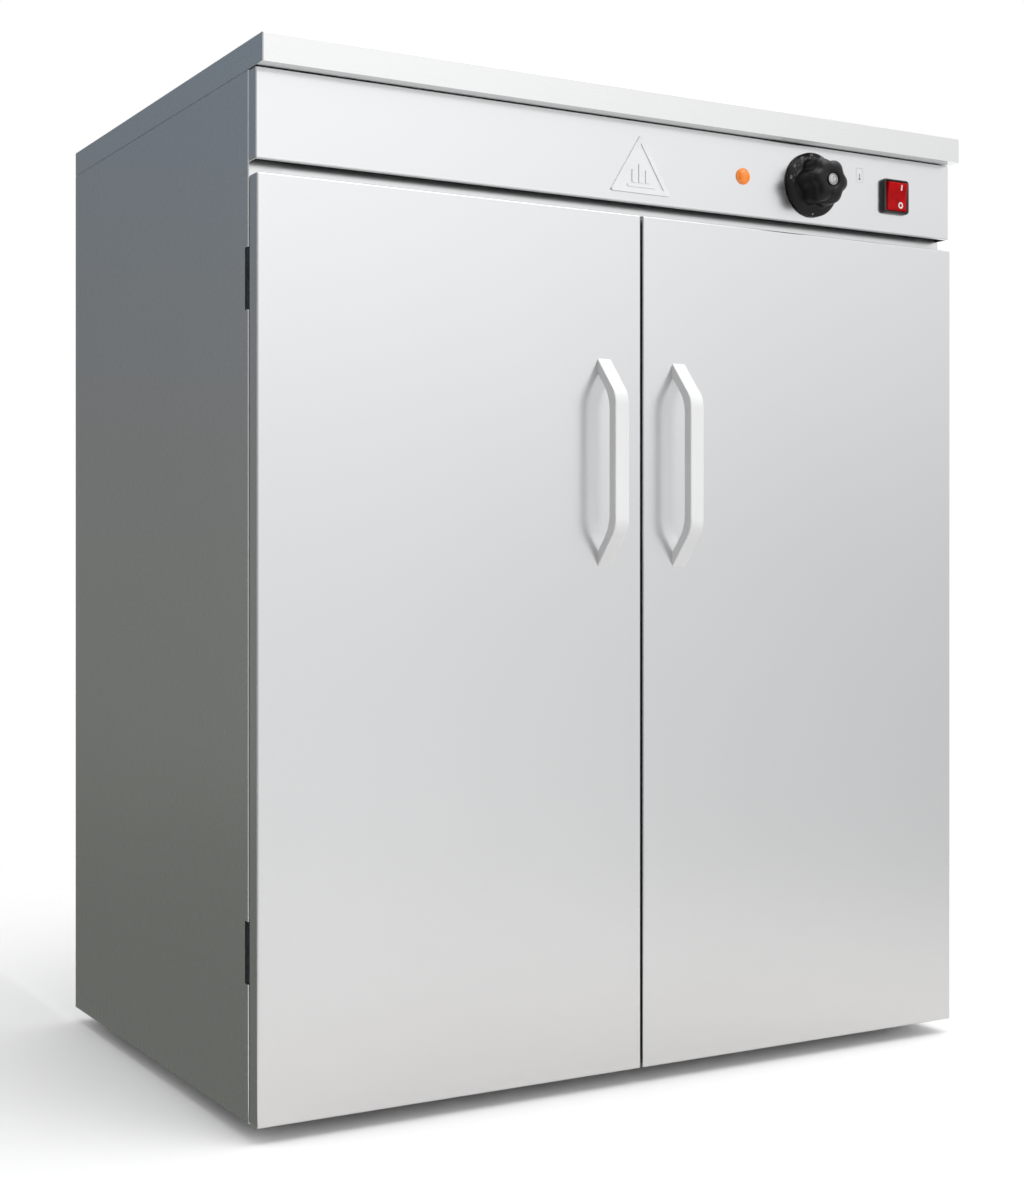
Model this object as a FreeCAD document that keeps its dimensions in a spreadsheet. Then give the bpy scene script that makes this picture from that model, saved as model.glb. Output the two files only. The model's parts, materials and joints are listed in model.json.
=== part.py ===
import FreeCAD, Part
import math
import os
import re
import Sketcher

# Food holding cabinet: a double-skinned heated cabinet with two hinged doors, wire shelves over a
# tubular heating element, and a control fascia under the worktop.
# Millimetres. +Z up, the front faces -Y, +X is the viewer's right. The origin is on the floor, under
# the middle of the case.

SIZES = {
    # case
    "case_width": 750.0,
    "case_depth": 506.0,
    "overall_height": 900.0,
    "foot_height": 14.0,
    "foot_radius": 16.0,
    "foot_taper": 2.0,
    "foot_inset_side": 45.0,
    "foot_inset_front": 82.0,
    "foot_inset_back": 45.0,
    "foot_recess": 5.0,
    "foot_screw_radius": 3.0,
    "foot_screw_head_radius": 5.5,
    "foot_screw_head_height": 3.0,
    "foot_screw_reach": 20.0,
    "case_skin": 1.0,
    "base_skin": 1.2,
    "liner_skin": 0.8,
    "wall_thickness": 30.0,
    "slab_floor_gap": 9.0,
    "slab_top_gap": 5.0,
    "flange_width": 16.0,
    # worktop
    "worktop_edge": 24.0,
    "worktop_skin": 1.2,
    "worktop_return": 18.0,
    "worktop_corner": 1.2,
    "worktop_bead": 1.0,
    # front frame
    "front_overhang": 31.0,
    "frame_skin": 1.2,
    "frame_depth": 20.0,
    "top_rail_height": 35.0,
    # control fascia
    "fascia_setback": 15.2,
    "fascia_skin": 1.2,
    "fascia_height": 74.6,
    "fascia_top_gap": 0.6,
    "fascia_side_gap": 0.5,
    "fascia_bead": 1.2,
    "fascia_lip": 2.0,
    # doors
    "door_gap": 2.5,
    "door_thickness": 16.0,
    "door_skin": 1.0,
    "door_bead": 1.5,
    "door_side_gap": 0.5,
    "door_top_gap": 11.4,
    "door_overlap": 18.4,
    "seam_gap": 2.6,
    # door handles
    "handle_length": 186.5,
    "handle_reach": 29.5,
    "handle_width": 14.5,
    "handle_thickness": 10.5,
    "handle_slope": 33.8,
    "handle_bead": 1.5,
    "handle_centre": 40.7,
    "handle_top_offset": 132.7,
    "handle_screw_radius": 2.5,
    "handle_screw_head_radius": 4.5,
    "handle_screw_head_height": 1.4,
    "handle_screw_inset": 11.0,
    "handle_screw_bite": 6.0,
    # hinges
    "hinge_length": 49.2,
    "hinge_barrel_radius": 2.5,
    "hinge_pin_radius": 1.2,
    "hinge_leaf": 1.2,
    "hinge_leaf_width": 24.0,
    "hinge_axis_depth": 3.0,
    "hinge_play": 0.4,
    "hinge_notch": 6.5,
    "hinge_top_offset": 59.2,
    "hinge_bottom_offset": 114.7,
    "running_clearance": 0.05,
    # magnetic catches
    "catch_width": 40.0,
    "catch_height": 13.0,
    "catch_depth": 18.0,
    "catch_centre": 42.0,
    "catch_gap": 0.3,
    "strike_skin": 1.0,
    "strike_margin": 3.0,
    # shelves and their runners
    "deck_height": 88.0,
    "deck_skin": 1.2,
    "deck_slot_columns": 10,
    "deck_slot_rows": 7,
    "deck_slot_length": 42.0,
    "deck_slot_width": 8.0,
    "deck_side_margin": 40.0,
    "deck_end_margin": 35.0,
    "shelf_spacing": 228.0,
    "runner_leg": 14.0,
    "runner_skin": 1.2,
    "runner_front_gap": 12.0,
    "runner_back_gap": 10.0,
    "shelf_side_gap": 3.0,
    "shelf_front_play": 1.0,
    "shelf_back_play": 2.0,
    "shelf_stop": 6.0,
    "shelf_rod": 3.0,
    "shelf_wire": 1.8,
    "shelf_wire_count": 21,
    "shelf_weld": 0.5,
    # heating element
    "element_radius": 4.25,
    "element_clearance": 14.0,
    "element_bend": 40.0,
    "element_half_width": 250.0,
    "element_half_depth": 130.0,
    "element_tail": 50.0,
    "element_tail_exit": 14.0,
    "clip_width": 12.0,
    "clip_depth": 22.0,
    "clip_grip": 1.0,
    # thermostat and its knob
    "control_height": 37.0,
    "thermostat_centre": 197.7,
    "thermostat_width": 44.0,
    "thermostat_height": 36.0,
    "thermostat_depth": 32.0,
    "shaft_radius": 3.0,
    "shaft_bore_depth": 12.0,
    "shaft_reach": 16.0,
    "knob_gap": 1.0,
    "knob_skirt_radius": 30.8,
    "knob_skirt_thickness": 5.0,
    "knob_grip_radius": 23.0,
    "knob_depth": 33.5,
    "knob_skirt_slope": 4.0,
    "knob_shoulder": 5.0,
    "knob_crown": 10.0,
    "knob_lobes": 7,
    "knob_scallop": 8.0,
    "knob_scallop_bite": 2.4,
    "knob_cap_radius": 6.2,
    "knob_cap_thickness": 1.2,
    "capillary_radius": 1.2,
    "bulb_radius": 3.0,
    "bulb_length": 80.0,
    "probe_inset": 130.0,
    "probe_run": 60.0,
    # rocker switch
    "switch_centre": 301.8,
    "switch_drop": 1.0,
    "bezel_width": 32.8,
    "bezel_height": 33.6,
    "bezel_depth": 5.0,
    "bezel_bead": 1.6,
    "barrel_side_wall": 1.5,
    "barrel_end_wall": 1.0,
    "rocker_well": 5.0,
    "rocker_width": 25.0,
    "rocker_height": 29.2,
    "rocker_depth": 5.0,
    "rocker_crown": 0.8,
    "rocker_clearance": 0.8,
    "rocker_tilt": 5.0,
    "trunnion_radius": 1.5,
    "trunnion_reach": 1.6,
    "trunnion_play": 0.2,
    "pivot_rise": 1.0,
    "rocker_end_gap": 0.6,
    "rocker_belly": 3.0,
    "switch_body_depth": 24.0,
    # pilot lamp
    "lamp_centre": 116.1,
    "lamp_radius": 7.75,
    "lamp_dome": 4.5,
    "lamp_barrel_radius": 5.8,
    "lamp_barrel_depth": 26.0,
    # raised badge
    "badge_half_width": 33.0,
    "badge_rise": 53.7,
    "badge_bottom": 9.0,
    "badge_thickness": 1.6,
    "badge_rim": 4.4,
    "badge_rib_width": 4.6,
    "badge_rib_height": 17.0,
    "badge_rib_spacing": 7.4,
    "badge_rib_foot": 5.0,
    "badge_bar_foot": 1.0,
    "badge_bar_height": 2.0,
    # wiring, terminals and cable gland
    "terminal_width": 46.0,
    "terminal_depth": 18.0,
    "terminal_height": 16.0,
    "terminal_inset": 60.0,
    "terminal_pitch": 10.0,
    "terminal_well_radius": 2.5,
    "terminal_well_depth": 5.0,
    "gland_centre": 290.0,
    "gland_bore": 4.5,
    "gland_radius": 9.5,
    "gland_reach": 11.0,
    "gland_neck": 6.5,
    "gland_tail": 12.0,
    "gland_flange": 4.0,
    "gland_nut": 5.0,
    "wire_radius": 1.6,
    "wire_spacing": 8.0,
    "wire_bend": 14.0,
    "wire_lift": 6.0,
    "wire_rise": 22.0,
    "wire_turn": 100.0,
    "switch_tab": 6.0,
    "thermostat_tab": 14.0,
    # back panel screws
    "screw_radius": 2.0,
    "screw_head_radius": 4.2,
    "screw_head_height": 2.0,
    "screw_inset": 8.0,
    "screw_end_gap": 40.0,
    "screw_tip": 6.0,
}

# Places that more than one piece is set out from.
PLACES = {
    "half_width": "case_width / 2",
    "front": "-case_depth / 2",
    "back": "case_depth / 2",
    "case_front": "front + front_overhang",
    "case_top": "overall_height - worktop_edge",
    "fascia_front": "front + fascia_setback",
    "fascia_top": "case_top - fascia_top_gap",
    "fascia_bottom": "fascia_top - fascia_height",
    "fascia_depth": "case_front - fascia_front",
    "door_back": "case_front - door_gap",
    "door_front": "door_back - door_thickness",
    "door_top": "fascia_bottom - door_top_gap",
    "door_height": "door_top - foot_height",
    "handle_bottom": "door_top - handle_top_offset - handle_length",
    "door_width": "half_width - door_side_gap - seam_gap / 2",
    "skin_inside": "half_width - case_skin",
    "cavity_half": "half_width - wall_thickness",
    "cavity_floor": "foot_height + wall_thickness",
    "cavity_top": "door_top - door_overlap",
    "cavity_front": "case_front + frame_depth",
    "cavity_back": "back - wall_thickness",
    "rail_top": "cavity_top + top_rail_height",
    "liner_outside": "cavity_half + liner_skin",
    "flange_front": "back - 2 * case_skin",
    "slab_bottom": "foot_height + slab_floor_gap",
    "slab_top": "cavity_top + wall_thickness - slab_top_gap",
    "hinge_x": "half_width - hinge_barrel_radius",
    "hinge_y": "case_front + hinge_axis_depth",
    "knuckle": "(hinge_length - 3 * hinge_play) / 4",
    "upper_hinge": "door_top - hinge_top_offset - hinge_length",
    "lower_hinge": "foot_height + hinge_bottom_offset",
    "control_z": "fascia_bottom + control_height",
    "deck_top": "cavity_floor + deck_height - wall_thickness",
    "shelf_front": "cavity_front + runner_front_gap + runner_skin + shelf_front_play",
    "shelf_back": "cavity_back - runner_back_gap - shelf_back_play",
    "shelf_half": "cavity_half - shelf_side_gap - runner_skin",
    "element_z": "cavity_floor + element_clearance",
    "element_centre": "(cavity_front + cavity_back) / 2",
    "switch_z": "control_z - switch_drop",
    "probe_y": "cavity_front + probe_inset",
}

SIDES = {"left": -1, "right": 1}

document = FreeCAD.newDocument("food_holding_cabinet")


# ---- the two sheets ------------------------------------------------------------------------

def fill_sheet(name, cells):
    """A spreadsheet with one named cell a row."""
    sheet = document.addObject("Spreadsheet::Sheet", name)
    for row, (alias, content) in enumerate(cells.items(), 1):
        sheet.set(f"A{row}", alias)
        sheet.set(f"B{row}", content)
        sheet.setAlias(f"B{row}", alias)
    document.recompute()
    return sheet


def full_name(match):
    word = match.group(0)
    if word in SIZES:
        return "sizes." + word
    if word in PLACES:
        return "places." + word
    return word


def formula(text):
    """The text with each size and place written as a reference to its cell."""
    return re.sub(r"[a-z][a-z_0-9]*", full_name, str(text))


sizes = fill_sheet("sizes", {alias: str(number) for alias, number in SIZES.items()})
places = document.addObject("Spreadsheet::Sheet", "places")
for line, (place, content) in enumerate(PLACES.items(), 1):
    places.set(f"A{line}", place)
    places.setAlias(f"B{line}", place)
    places.set(f"B{line}", "=" + re.sub(r"places\.", "", formula(content)))
document.recompute()


def size(alias):
    """The number in a named cell, for shapes and loops made in code."""
    return float(getattr(sizes if alias in SIZES else places, alias))


# ---- binding and placing -------------------------------------------------------------------

def bind(piece, setting, text):
    piece.setExpression(setting, formula(text))


def place(piece, corner, rotation=None):
    """Put a piece's own origin at a corner given as three formulas."""
    if rotation is not None:
        piece.Placement = FreeCAD.Placement(FreeCAD.Vector(), rotation)
    for axis, text in zip("xyz", corner):
        bind(piece, f".Placement.Base.{axis}", text)
    return piece


def label(piece, name):
    piece.Label = name
    return piece


# ---- Part primitives -----------------------------------------------------------------------

TURNS = {
    "x": FreeCAD.Rotation(FreeCAD.Vector(0, 1, 0), 90),
    "y": FreeCAD.Rotation(FreeCAD.Vector(1, 0, 0), -90),
    "z": FreeCAD.Rotation(),
}


def box(name, corner, lengths):
    """A block from its lowest corner."""
    block = document.addObject("Part::Box", name)
    for setting, text in zip(("Length", "Width", "Height"), lengths):
        bind(block, setting, text)
    return place(block, corner)


def span(name, x_range, y_range, z_range):
    """A block between two values on each axis."""
    ranges = (x_range, y_range, z_range)
    corner = [low for low, high in ranges]
    lengths = [f"({high}) - ({low})" for low, high in ranges]
    return box(name, corner, lengths)


def side_span(name, side, inner, outer, y_range, z_range):
    """A block given by its distances from the middle plane, on the left or the right."""
    x_range = (inner, outer) if side > 0 else (f"-({outer})", f"-({inner})")
    return span(name, x_range, y_range, z_range)


def rod(name, start, radius, length, axis="z"):
    """A round bar from its start along +X, +Y or +Z."""
    bar = document.addObject("Part::Cylinder", name)
    bind(bar, "Radius", radius)
    bind(bar, "Height", length)
    return place(bar, start, TURNS[axis])


def ball(name, centre, radius):
    sphere = document.addObject("Part::Sphere", name)
    bind(sphere, "Radius", radius)
    return place(sphere, centre)


def joined(name, pieces):
    fusion = document.addObject("Part::MultiFuse", name)
    fusion.Shapes = pieces
    return fusion


def grouped(name, pieces):
    group = document.addObject("Part::Compound", name)
    group.Links = pieces
    return group


def cut(name, base, tools):
    """The base less its tools."""
    result = document.addObject("Part::Cut", name)
    result.Base = base
    result.Tool = tools[0] if len(tools) == 1 else joined(name + "_tools", tools)
    return result


# ---- PartDesign bodies ---------------------------------------------------------------------

def new_body(name, corner, rotation=None):
    return place(document.addObject("PartDesign::Body", name), corner, rotation)


def sketch_on(body, name, role, offset="0"):
    """An empty sketch on one of the body's own planes, moved along that plane's normal."""
    plane = next(item for item in body.Origin.OriginFeatures if item.Role == role)
    sketch = body.newObject("Sketcher::SketchObject", name)
    sketch.AttachmentSupport = [(plane, "")]
    sketch.MapMode = "FlatFace"
    bind(sketch, ".AttachmentOffset.Base.z", offset)
    return sketch


def hold_point(sketch, line, point):
    """Dimension a line's first point from the sketch's origin with two formulas."""
    for kind, text in zip(("DistanceX", "DistanceY"), point):
        name = f"{kind}{line}"
        number = sketch.addConstraint(Sketcher.Constraint(kind, -1, 1, line, 1, 1.0))
        sketch.renameConstraint(number, name)
        bind(sketch, f".Constraints.{name}", text)


def polygon(sketch, points):
    """A closed outline whose corners are pairs of formulas."""
    count = len(points)
    first = sketch.GeometryCount
    turn = 2 * math.pi / count
    guess = [FreeCAD.Vector(math.cos(i * turn), math.sin(i * turn), 0) for i in range(count)]
    for i in range(count):
        sketch.addGeometry(Part.LineSegment(guess[i], guess[(i + 1) % count]))
    for i in range(count):
        following = first + (i + 1) % count
        sketch.addConstraint(Sketcher.Constraint("Coincident", first + i, 2, following, 1))
    for i, point in enumerate(points):
        hold_point(sketch, first + i, point)


def rectangle(sketch, low, high):
    polygon(sketch, [low, (high[0], low[1]), high, (low[0], high[1])])


def circle(sketch, centre, radius):
    number = sketch.addGeometry(Part.Circle(FreeCAD.Vector(), FreeCAD.Vector(0, 0, 1), 1.0))
    for kind, text in zip(("DistanceX", "DistanceY"), centre):
        name = f"{kind}{number}"
        index = sketch.addConstraint(Sketcher.Constraint(kind, -1, 1, number, 3, 1.0))
        sketch.renameConstraint(index, name)
        bind(sketch, f".Constraints.{name}", text)
    index = sketch.addConstraint(Sketcher.Constraint("Radius", number, 1.0))
    sketch.renameConstraint(index, f"Radius{number}")
    bind(sketch, f".Constraints.Radius{number}", radius)


def pad(body, name, sketch, length, reverse=False, midplane=False):
    feature = body.newObject("PartDesign::Pad", name)
    feature.Profile = sketch
    bind(feature, "Length", length)
    feature.Reversed = reverse
    feature.Midplane = midplane
    document.recompute()
    return feature


def pocket(body, name, sketch, length, reverse=False):
    """A pocket that has to take something away."""
    before = body.Shape.Volume
    feature = body.newObject("PartDesign::Pocket", name)
    feature.Profile = sketch
    bind(feature, "Length", length)
    feature.Reversed = reverse
    document.recompute()
    if not body.Shape.Volume < before - 1e-6:
        raise RuntimeError(f"{body.Label}: {name} cuts nothing")
    return feature


def round_edges(body, name, radius, chosen):
    """Fillet the edges of the body's last feature that the test chooses."""
    document.recompute()
    base = body.Tip
    names = [f"Edge{i}" for i, edge in enumerate(base.Shape.Edges, 1) if chosen(edge.BoundBox)]
    feature = body.newObject("PartDesign::Fillet", name)
    feature.Base = (base, names)
    bind(feature, "Radius", radius)
    document.recompute()
    return feature


def near(first, second):
    return abs(first - second) < 1e-4


def folded_pan(name, corner, width, height, depth, skin, bead):
    """A tray of folded sheet that faces -Y and is open at the back, with rounded front folds."""
    body = new_body(name, corner)
    outline = sketch_on(body, name + "_outline", "XZ_Plane")
    rectangle(outline, ("0", "0"), (width, height))
    pad(body, name + "_block", outline, depth, reverse=True)
    inside = sketch_on(body, name + "_inside", "XZ_Plane", f"-({skin})")
    rectangle(inside, (skin, skin), (f"{width} - {skin}", f"{height} - {skin}"))
    pocket(body, name + "_hollow", inside, depth)
    shape = body.Tip.Shape.BoundBox

    def front_fold(box_):
        on_face = near(box_.YMax, 0)
        at_rim = near(box_.XMin, box_.XMax) and (near(box_.XMin, 0) or near(box_.XMax, shape.XMax))
        at_end = near(box_.ZMin, box_.ZMax) and (near(box_.ZMin, 0) or near(box_.ZMax, shape.ZMax))
        return on_face and (at_rim or at_end)

    def upright_fold(box_):
        tall = near(box_.YMin, 0) and near(box_.YMax, shape.YMax)
        at_corner = near(box_.XMin, 0) or near(box_.XMax, shape.XMax)
        return tall and at_corner and (near(box_.ZMin, 0) or near(box_.ZMax, shape.ZMax))

    round_edges(body, name + "_folds", bead, lambda b: front_fold(b) or upright_fold(b))
    return body


def front_hole(body, name, centre, radius, depth):
    """A round hole through the front of a pan, from the XZ plane towards +Y."""
    outline = sketch_on(body, name + "_outline", "XZ_Plane")
    circle(outline, centre, radius)
    return pocket(body, name, outline, depth)


# ---- bent tubes and wires ------------------------------------------------------------------

def bent_path(points, radius):
    """Straight runs through the points, joined by tangent arcs of one radius."""
    corners = [FreeCAD.Vector(*point) for point in points]
    edges = []
    start = corners[0]
    for before, corner, after in zip(corners, corners[1:], corners[2:]):
        come = (before - corner).normalize()
        leave = (after - corner).normalize()
        half = come.getAngle(leave) / 2
        reach = radius / math.tan(half)
        first = corner + come * reach
        last = corner + leave * reach
        middle_way = (come + leave).normalize()
        middle = corner + middle_way * (radius / math.sin(half) - radius)
        edges.append(Part.makeLine(start, first))
        edges.append(Part.Arc(first, middle, last).toShape())
        start = last
    edges.append(Part.makeLine(start, corners[-1]))
    return Part.Wire(edges)


def bent_tube(points, tube_radius, bend_radius):
    """A solid round tube along a bent path."""
    path = bent_path(points, bend_radius)
    direction = FreeCAD.Vector(*points[1]) - FreeCAD.Vector(*points[0])
    ring = Part.Wire([Part.makeCircle(tube_radius, FreeCAD.Vector(*points[0]), direction)])
    tube = path.makePipeShell([ring], True, True)
    expected = math.pi * tube_radius ** 2 * path.Length
    if abs(tube.Volume - expected) > 0.02 * expected:
        raise RuntimeError("a bent tube has the wrong volume")
    return tube


def coded(name, shape):
    """A piece whose shape is made in code."""
    feature = document.addObject("Part::Feature", name)
    feature.Shape = shape
    feature.Placement = FreeCAD.Placement()
    return feature


# ---- case ----------------------------------------------------------------------------------

def make_worktop():
    """A sheet pan turned down on all sides, with a return folded in under its edge."""
    body = new_body("worktop", ("-half_width", "front", "case_top"))
    outline = sketch_on(body, "worktop_outline", "XY_Plane")
    rectangle(outline, ("0", "0"), ("case_width", "case_depth"))
    pad(body, "worktop_block", outline, "worktop_edge")
    mouth = sketch_on(body, "worktop_mouth_outline", "XY_Plane")
    rectangle(
        mouth,
        ("worktop_return", "worktop_return"),
        ("case_width - worktop_return", "case_depth - worktop_return"),
    )
    pocket(body, "worktop_mouth", mouth, "worktop_edge - worktop_skin", reverse=True)
    inside = sketch_on(body, "worktop_inside_outline", "XY_Plane", "worktop_skin")
    rectangle(
        inside,
        ("worktop_skin", "worktop_skin"),
        ("case_width - worktop_skin", "case_depth - worktop_skin"),
    )
    pocket(body, "worktop_inside", inside, "worktop_edge - 2 * worktop_skin", reverse=True)
    shape = body.Tip.Shape.BoundBox

    def outer_corner(b):
        upright = near(b.ZMin, 0) and near(b.ZMax, shape.ZMax)
        at_x = near(b.XMax, 0) or near(b.XMin, shape.XMax)
        return upright and at_x and (near(b.YMax, 0) or near(b.YMin, shape.YMax))

    def top_rim(b):
        return near(b.ZMin, shape.ZMax)

    round_edges(body, "worktop_corners", "worktop_corner", outer_corner)
    round_edges(body, "worktop_rim", "worktop_bead", top_rim)
    return body


def hinge_heights():
    return (("lower", "lower_hinge"), ("upper", "upper_hinge"))


def hinge_notches(name, side, outer):
    """The cut-outs for the two hinge barrels in a case side's front edge."""
    return [
        side_span(
            f"{name}_{level}_notch",
            side,
            "half_width - 2 * hinge_barrel_radius - 1",
            outer,
            ("case_front - 1", "case_front + hinge_notch"),
            (f"{bottom} - 1", f"{bottom} + hinge_length + 1"),
        )
        for level, bottom in hinge_heights()
    ]


def screw_heights():
    """Four heights for the screws down each side of the back panel."""
    run = "(case_top - foot_height - 2 * screw_end_gap)"
    return [f"foot_height + screw_end_gap + {run} * {step} / 3" for step in range(4)]


def back_screw_holes(name, side):
    return [
        rod(
            f"{name}_hole_{number}",
            (f"{side} * (half_width - screw_inset)", "flange_front - 1", height),
            "screw_radius",
            "2 * case_skin + 2",
            "y",
        )
        for number, height in enumerate(screw_heights())
    ]


def make_side_panel(word, side):
    """One sheet, with flanges for the worktop and the back panel and notches for the hinges."""
    name = f"{word}_side_panel"
    full = ("foot_height", "case_top")
    skin = side_span(name + "_skin", side, "skin_inside", "half_width", ("case_front", "back"), full)
    top = side_span(
        name + "_top_flange",
        side,
        "half_width - flange_width",
        "skin_inside",
        ("cavity_front", "flange_front"),
        ("case_top - case_skin", "case_top"),
    )
    rear = side_span(
        name + "_rear_flange",
        side,
        "half_width - flange_width",
        "skin_inside",
        ("flange_front", "back - case_skin"),
        full,
    )
    sheet = joined(name + "_sheet", [skin, top, rear])
    tools = hinge_notches(name, side, "half_width + 1") + back_screw_holes(name, side)
    return cut(name, sheet, tools)


def make_back_panel():
    panel = span(
        "back_panel_sheet",
        ("-skin_inside", "skin_inside"),
        ("back - case_skin", "back"),
        ("foot_height", "case_top"),
    )
    holes = back_screw_holes("back_left", -1) + back_screw_holes("back_right", 1)
    cable_hole = rod(
        "cable_hole",
        ("-gland_centre", "back - case_skin - 1", "control_z"),
        "gland_neck",
        "case_skin + 2",
        "y",
    )
    return cut("back_panel", panel, holes + [cable_hole])


def foot_places():
    """The four feet: name, x and y."""
    across = {"left": "-(half_width - foot_inset_side)", "right": "half_width - foot_inset_side"}
    along = {"front": "front + foot_inset_front", "rear": "back - foot_inset_back"}
    return [(f"{end}_{word}", x, y) for end, y in along.items() for word, x in across.items()]


def make_base_panel():
    panel = span(
        "base_panel_sheet",
        ("-skin_inside", "skin_inside"),
        ("cavity_front", "flange_front"),
        ("foot_height", "foot_height + base_skin"),
    )
    holes = [
        rod(f"{name}_base_hole", (x, y, "foot_height - 1"), "foot_screw_radius", "base_skin + 2")
        for name, x, y in foot_places()
    ]
    return cut("base_panel", panel, holes)


def make_feet():
    """Tapered rubber feet, each recessed for its screw's head."""
    feet = []
    screws = []
    for name, x, y in foot_places():
        pad_shape = document.addObject("Part::Cone", name + "_foot_block")
        bind(pad_shape, "Radius1", "foot_radius - foot_taper")
        bind(pad_shape, "Radius2", "foot_radius")
        bind(pad_shape, "Height", "foot_height")
        place(pad_shape, (x, y, "0"))
        recess = rod(name + "_foot_recess", (x, y, "-1"), "foot_screw_head_radius + 0.5",
                     "foot_recess + 1")
        hole = rod(name + "_foot_hole", (x, y, "0"), "foot_screw_radius", "foot_height + 1")
        feet.append(cut(name + "_foot", pad_shape, [recess, hole]))
        head = rod(name + "_foot_screw_head", (x, y, "foot_recess - foot_screw_head_height"),
                   "foot_screw_head_radius", "foot_screw_head_height")
        shank = rod(name + "_foot_screw_shank", (x, y, "foot_recess - 1"), "foot_screw_radius",
                    "foot_screw_reach - foot_recess + 1")
        screws.append(joined(name + "_foot_screw", [head, shank]))
    return [grouped("feet", feet), grouped("foot_screws", screws)]


def make_back_screws():
    screws = []
    for word, side in SIDES.items():
        for number, height in enumerate(screw_heights()):
            x = f"{side} * (half_width - screw_inset)"
            name = f"{word}_back_screw_{number}"
            head = rod(name + "_head", (x, "back", height), "screw_head_radius",
                       "screw_head_height", "y")
            shank = rod(name + "_shank", (x, "flange_front - screw_tip", height), "screw_radius",
                        "back - flange_front + screw_tip + 1", "y")
            screws.append(joined(name, [head, shank]))
    return grouped("back_panel_screws", screws)


# ---- front frame ---------------------------------------------------------------------------

def channel(name, x_range, z_range, x_walls, z_walls):
    """A frame member: a front web with returns along its long edges, open at the back."""
    block = span(name + "_block", x_range, ("case_front", "cavity_front"), z_range)
    hollow = span(
        name + "_hollow",
        (f"{x_range[0]} + {x_walls}", f"{x_range[1]} - ({x_walls})"),
        ("case_front + frame_skin", "cavity_front + 1"),
        (f"{z_range[0]} + {z_walls}", f"{z_range[1]} - ({z_walls})"),
    )
    return block, hollow


def make_stile(word, side):
    low, high = ("cavity_half", "skin_inside") if side > 0 else ("-skin_inside", "-cavity_half")
    name = f"{word}_stile"
    block, hollow = channel(name, (low, high), ("foot_height", "case_top"), "frame_skin",
                            "frame_skin")
    return cut(name, block, [hollow] + hinge_notches(name, side, "half_width"))


def make_rail(name, z_range):
    block, hollow = channel(name, ("-cavity_half", "cavity_half"), z_range, "-1", "frame_skin")
    return cut(name, block, [hollow])


# ---- cavity liner and insulation -----------------------------------------------------------

def make_liner():
    across = ("-cavity_half", "cavity_half")
    along = ("cavity_front", "cavity_back")
    outside = ("cavity_floor - liner_skin", "cavity_top + liner_skin")
    floor = span("liner_floor", across, along, ("cavity_floor - liner_skin", "cavity_floor"))
    ceiling = span("liner_ceiling_sheet", across, along, ("cavity_top", "cavity_top + liner_skin"))
    probe_hole = rod("probe_hole", ("thermostat_centre", "probe_y", "cavity_top - 1"),
                     "bulb_radius", "liner_skin + 2")
    walls = [
        side_span(f"{word}_liner", side, "cavity_half", "liner_outside", along, outside)
        for word, side in SIDES.items()
    ]
    rear = span("rear_liner_sheet", ("-liner_outside", "liner_outside"),
                ("cavity_back", "cavity_back + liner_skin"), outside)
    return walls + [
        floor,
        cut("liner_ceiling", ceiling, [probe_hole]),
        cut("rear_liner", rear, tail_holes("rear_liner", "liner_skin + 2")),
    ]


def tail_holes(name, length):
    """Holes for the heating element's two ends, from just inside the rear liner."""
    return [
        rod(f"{name}_{word}_tail_hole", (f"{side} * element_tail", "cavity_back - 1", "element_z"),
            "element_radius + 1", length, "y")
        for word, side in SIDES.items()
    ]


def make_insulation():
    """Mineral wool slabs between the outer panels and the liner."""
    slabs = ("slab_bottom", "slab_top")
    behind = "cavity_back + liner_skin"
    inner = ("-liner_outside", "liner_outside")
    sides = [
        side_span(f"{word}_insulation", side, "liner_outside", "skin_inside",
                  ("cavity_front", behind), slabs)
        for word, side in SIDES.items()
    ]
    rear = span("rear_insulation_slab", inner, (behind, "flange_front"), slabs)
    base = span("base_insulation", inner, ("cavity_front", behind),
                ("slab_bottom", "cavity_floor - liner_skin"))
    top = span("top_insulation_slab", inner, ("cavity_front", behind),
               ("cavity_top + liner_skin", "slab_top"))
    probe_hole = rod("probe_way", ("thermostat_centre", "probe_y", "cavity_top"),
                     "bulb_radius", "wall_thickness + 2")
    return sides + [
        base,
        cut("rear_insulation", rear, tail_holes("rear_slab", "wall_thickness")),
        cut("top_insulation", top, [probe_hole]),
    ]


# ---- shelves -------------------------------------------------------------------------------

def shelf_levels():
    """Heights at which the perforated deck and the wire shelves rest on their runners."""
    return [
        ("deck", "deck_top - deck_skin"),
        ("lower", "deck_top + shelf_spacing"),
        ("upper", "deck_top + 2 * shelf_spacing"),
    ]


def make_runners(word, side):
    """Angle runners down one side of the cavity, with a small stop at the front of each."""
    runners = []
    along = ("cavity_front + runner_front_gap", "cavity_back - runner_back_gap")
    for level, height in shelf_levels():
        name = f"{word}_{level}_runner"
        upright = side_span(name + "_upright", side, "cavity_half - runner_skin", "cavity_half",
                            along, (f"{height} - runner_leg", height))
        ledge = side_span(name + "_ledge", side, "cavity_half - runner_leg", "cavity_half",
                          along, (f"{height} - runner_skin", height))
        stop = side_span(name + "_stop", side, "cavity_half - runner_leg", "cavity_half",
                         (along[0], f"{along[0]} + runner_skin"),
                         (f"{height} - runner_skin", f"{height} + shelf_stop"))
        runners.append(joined(name, [upright, ledge, stop]))
    return grouped(f"{word}_shelf_runners", runners)


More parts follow.
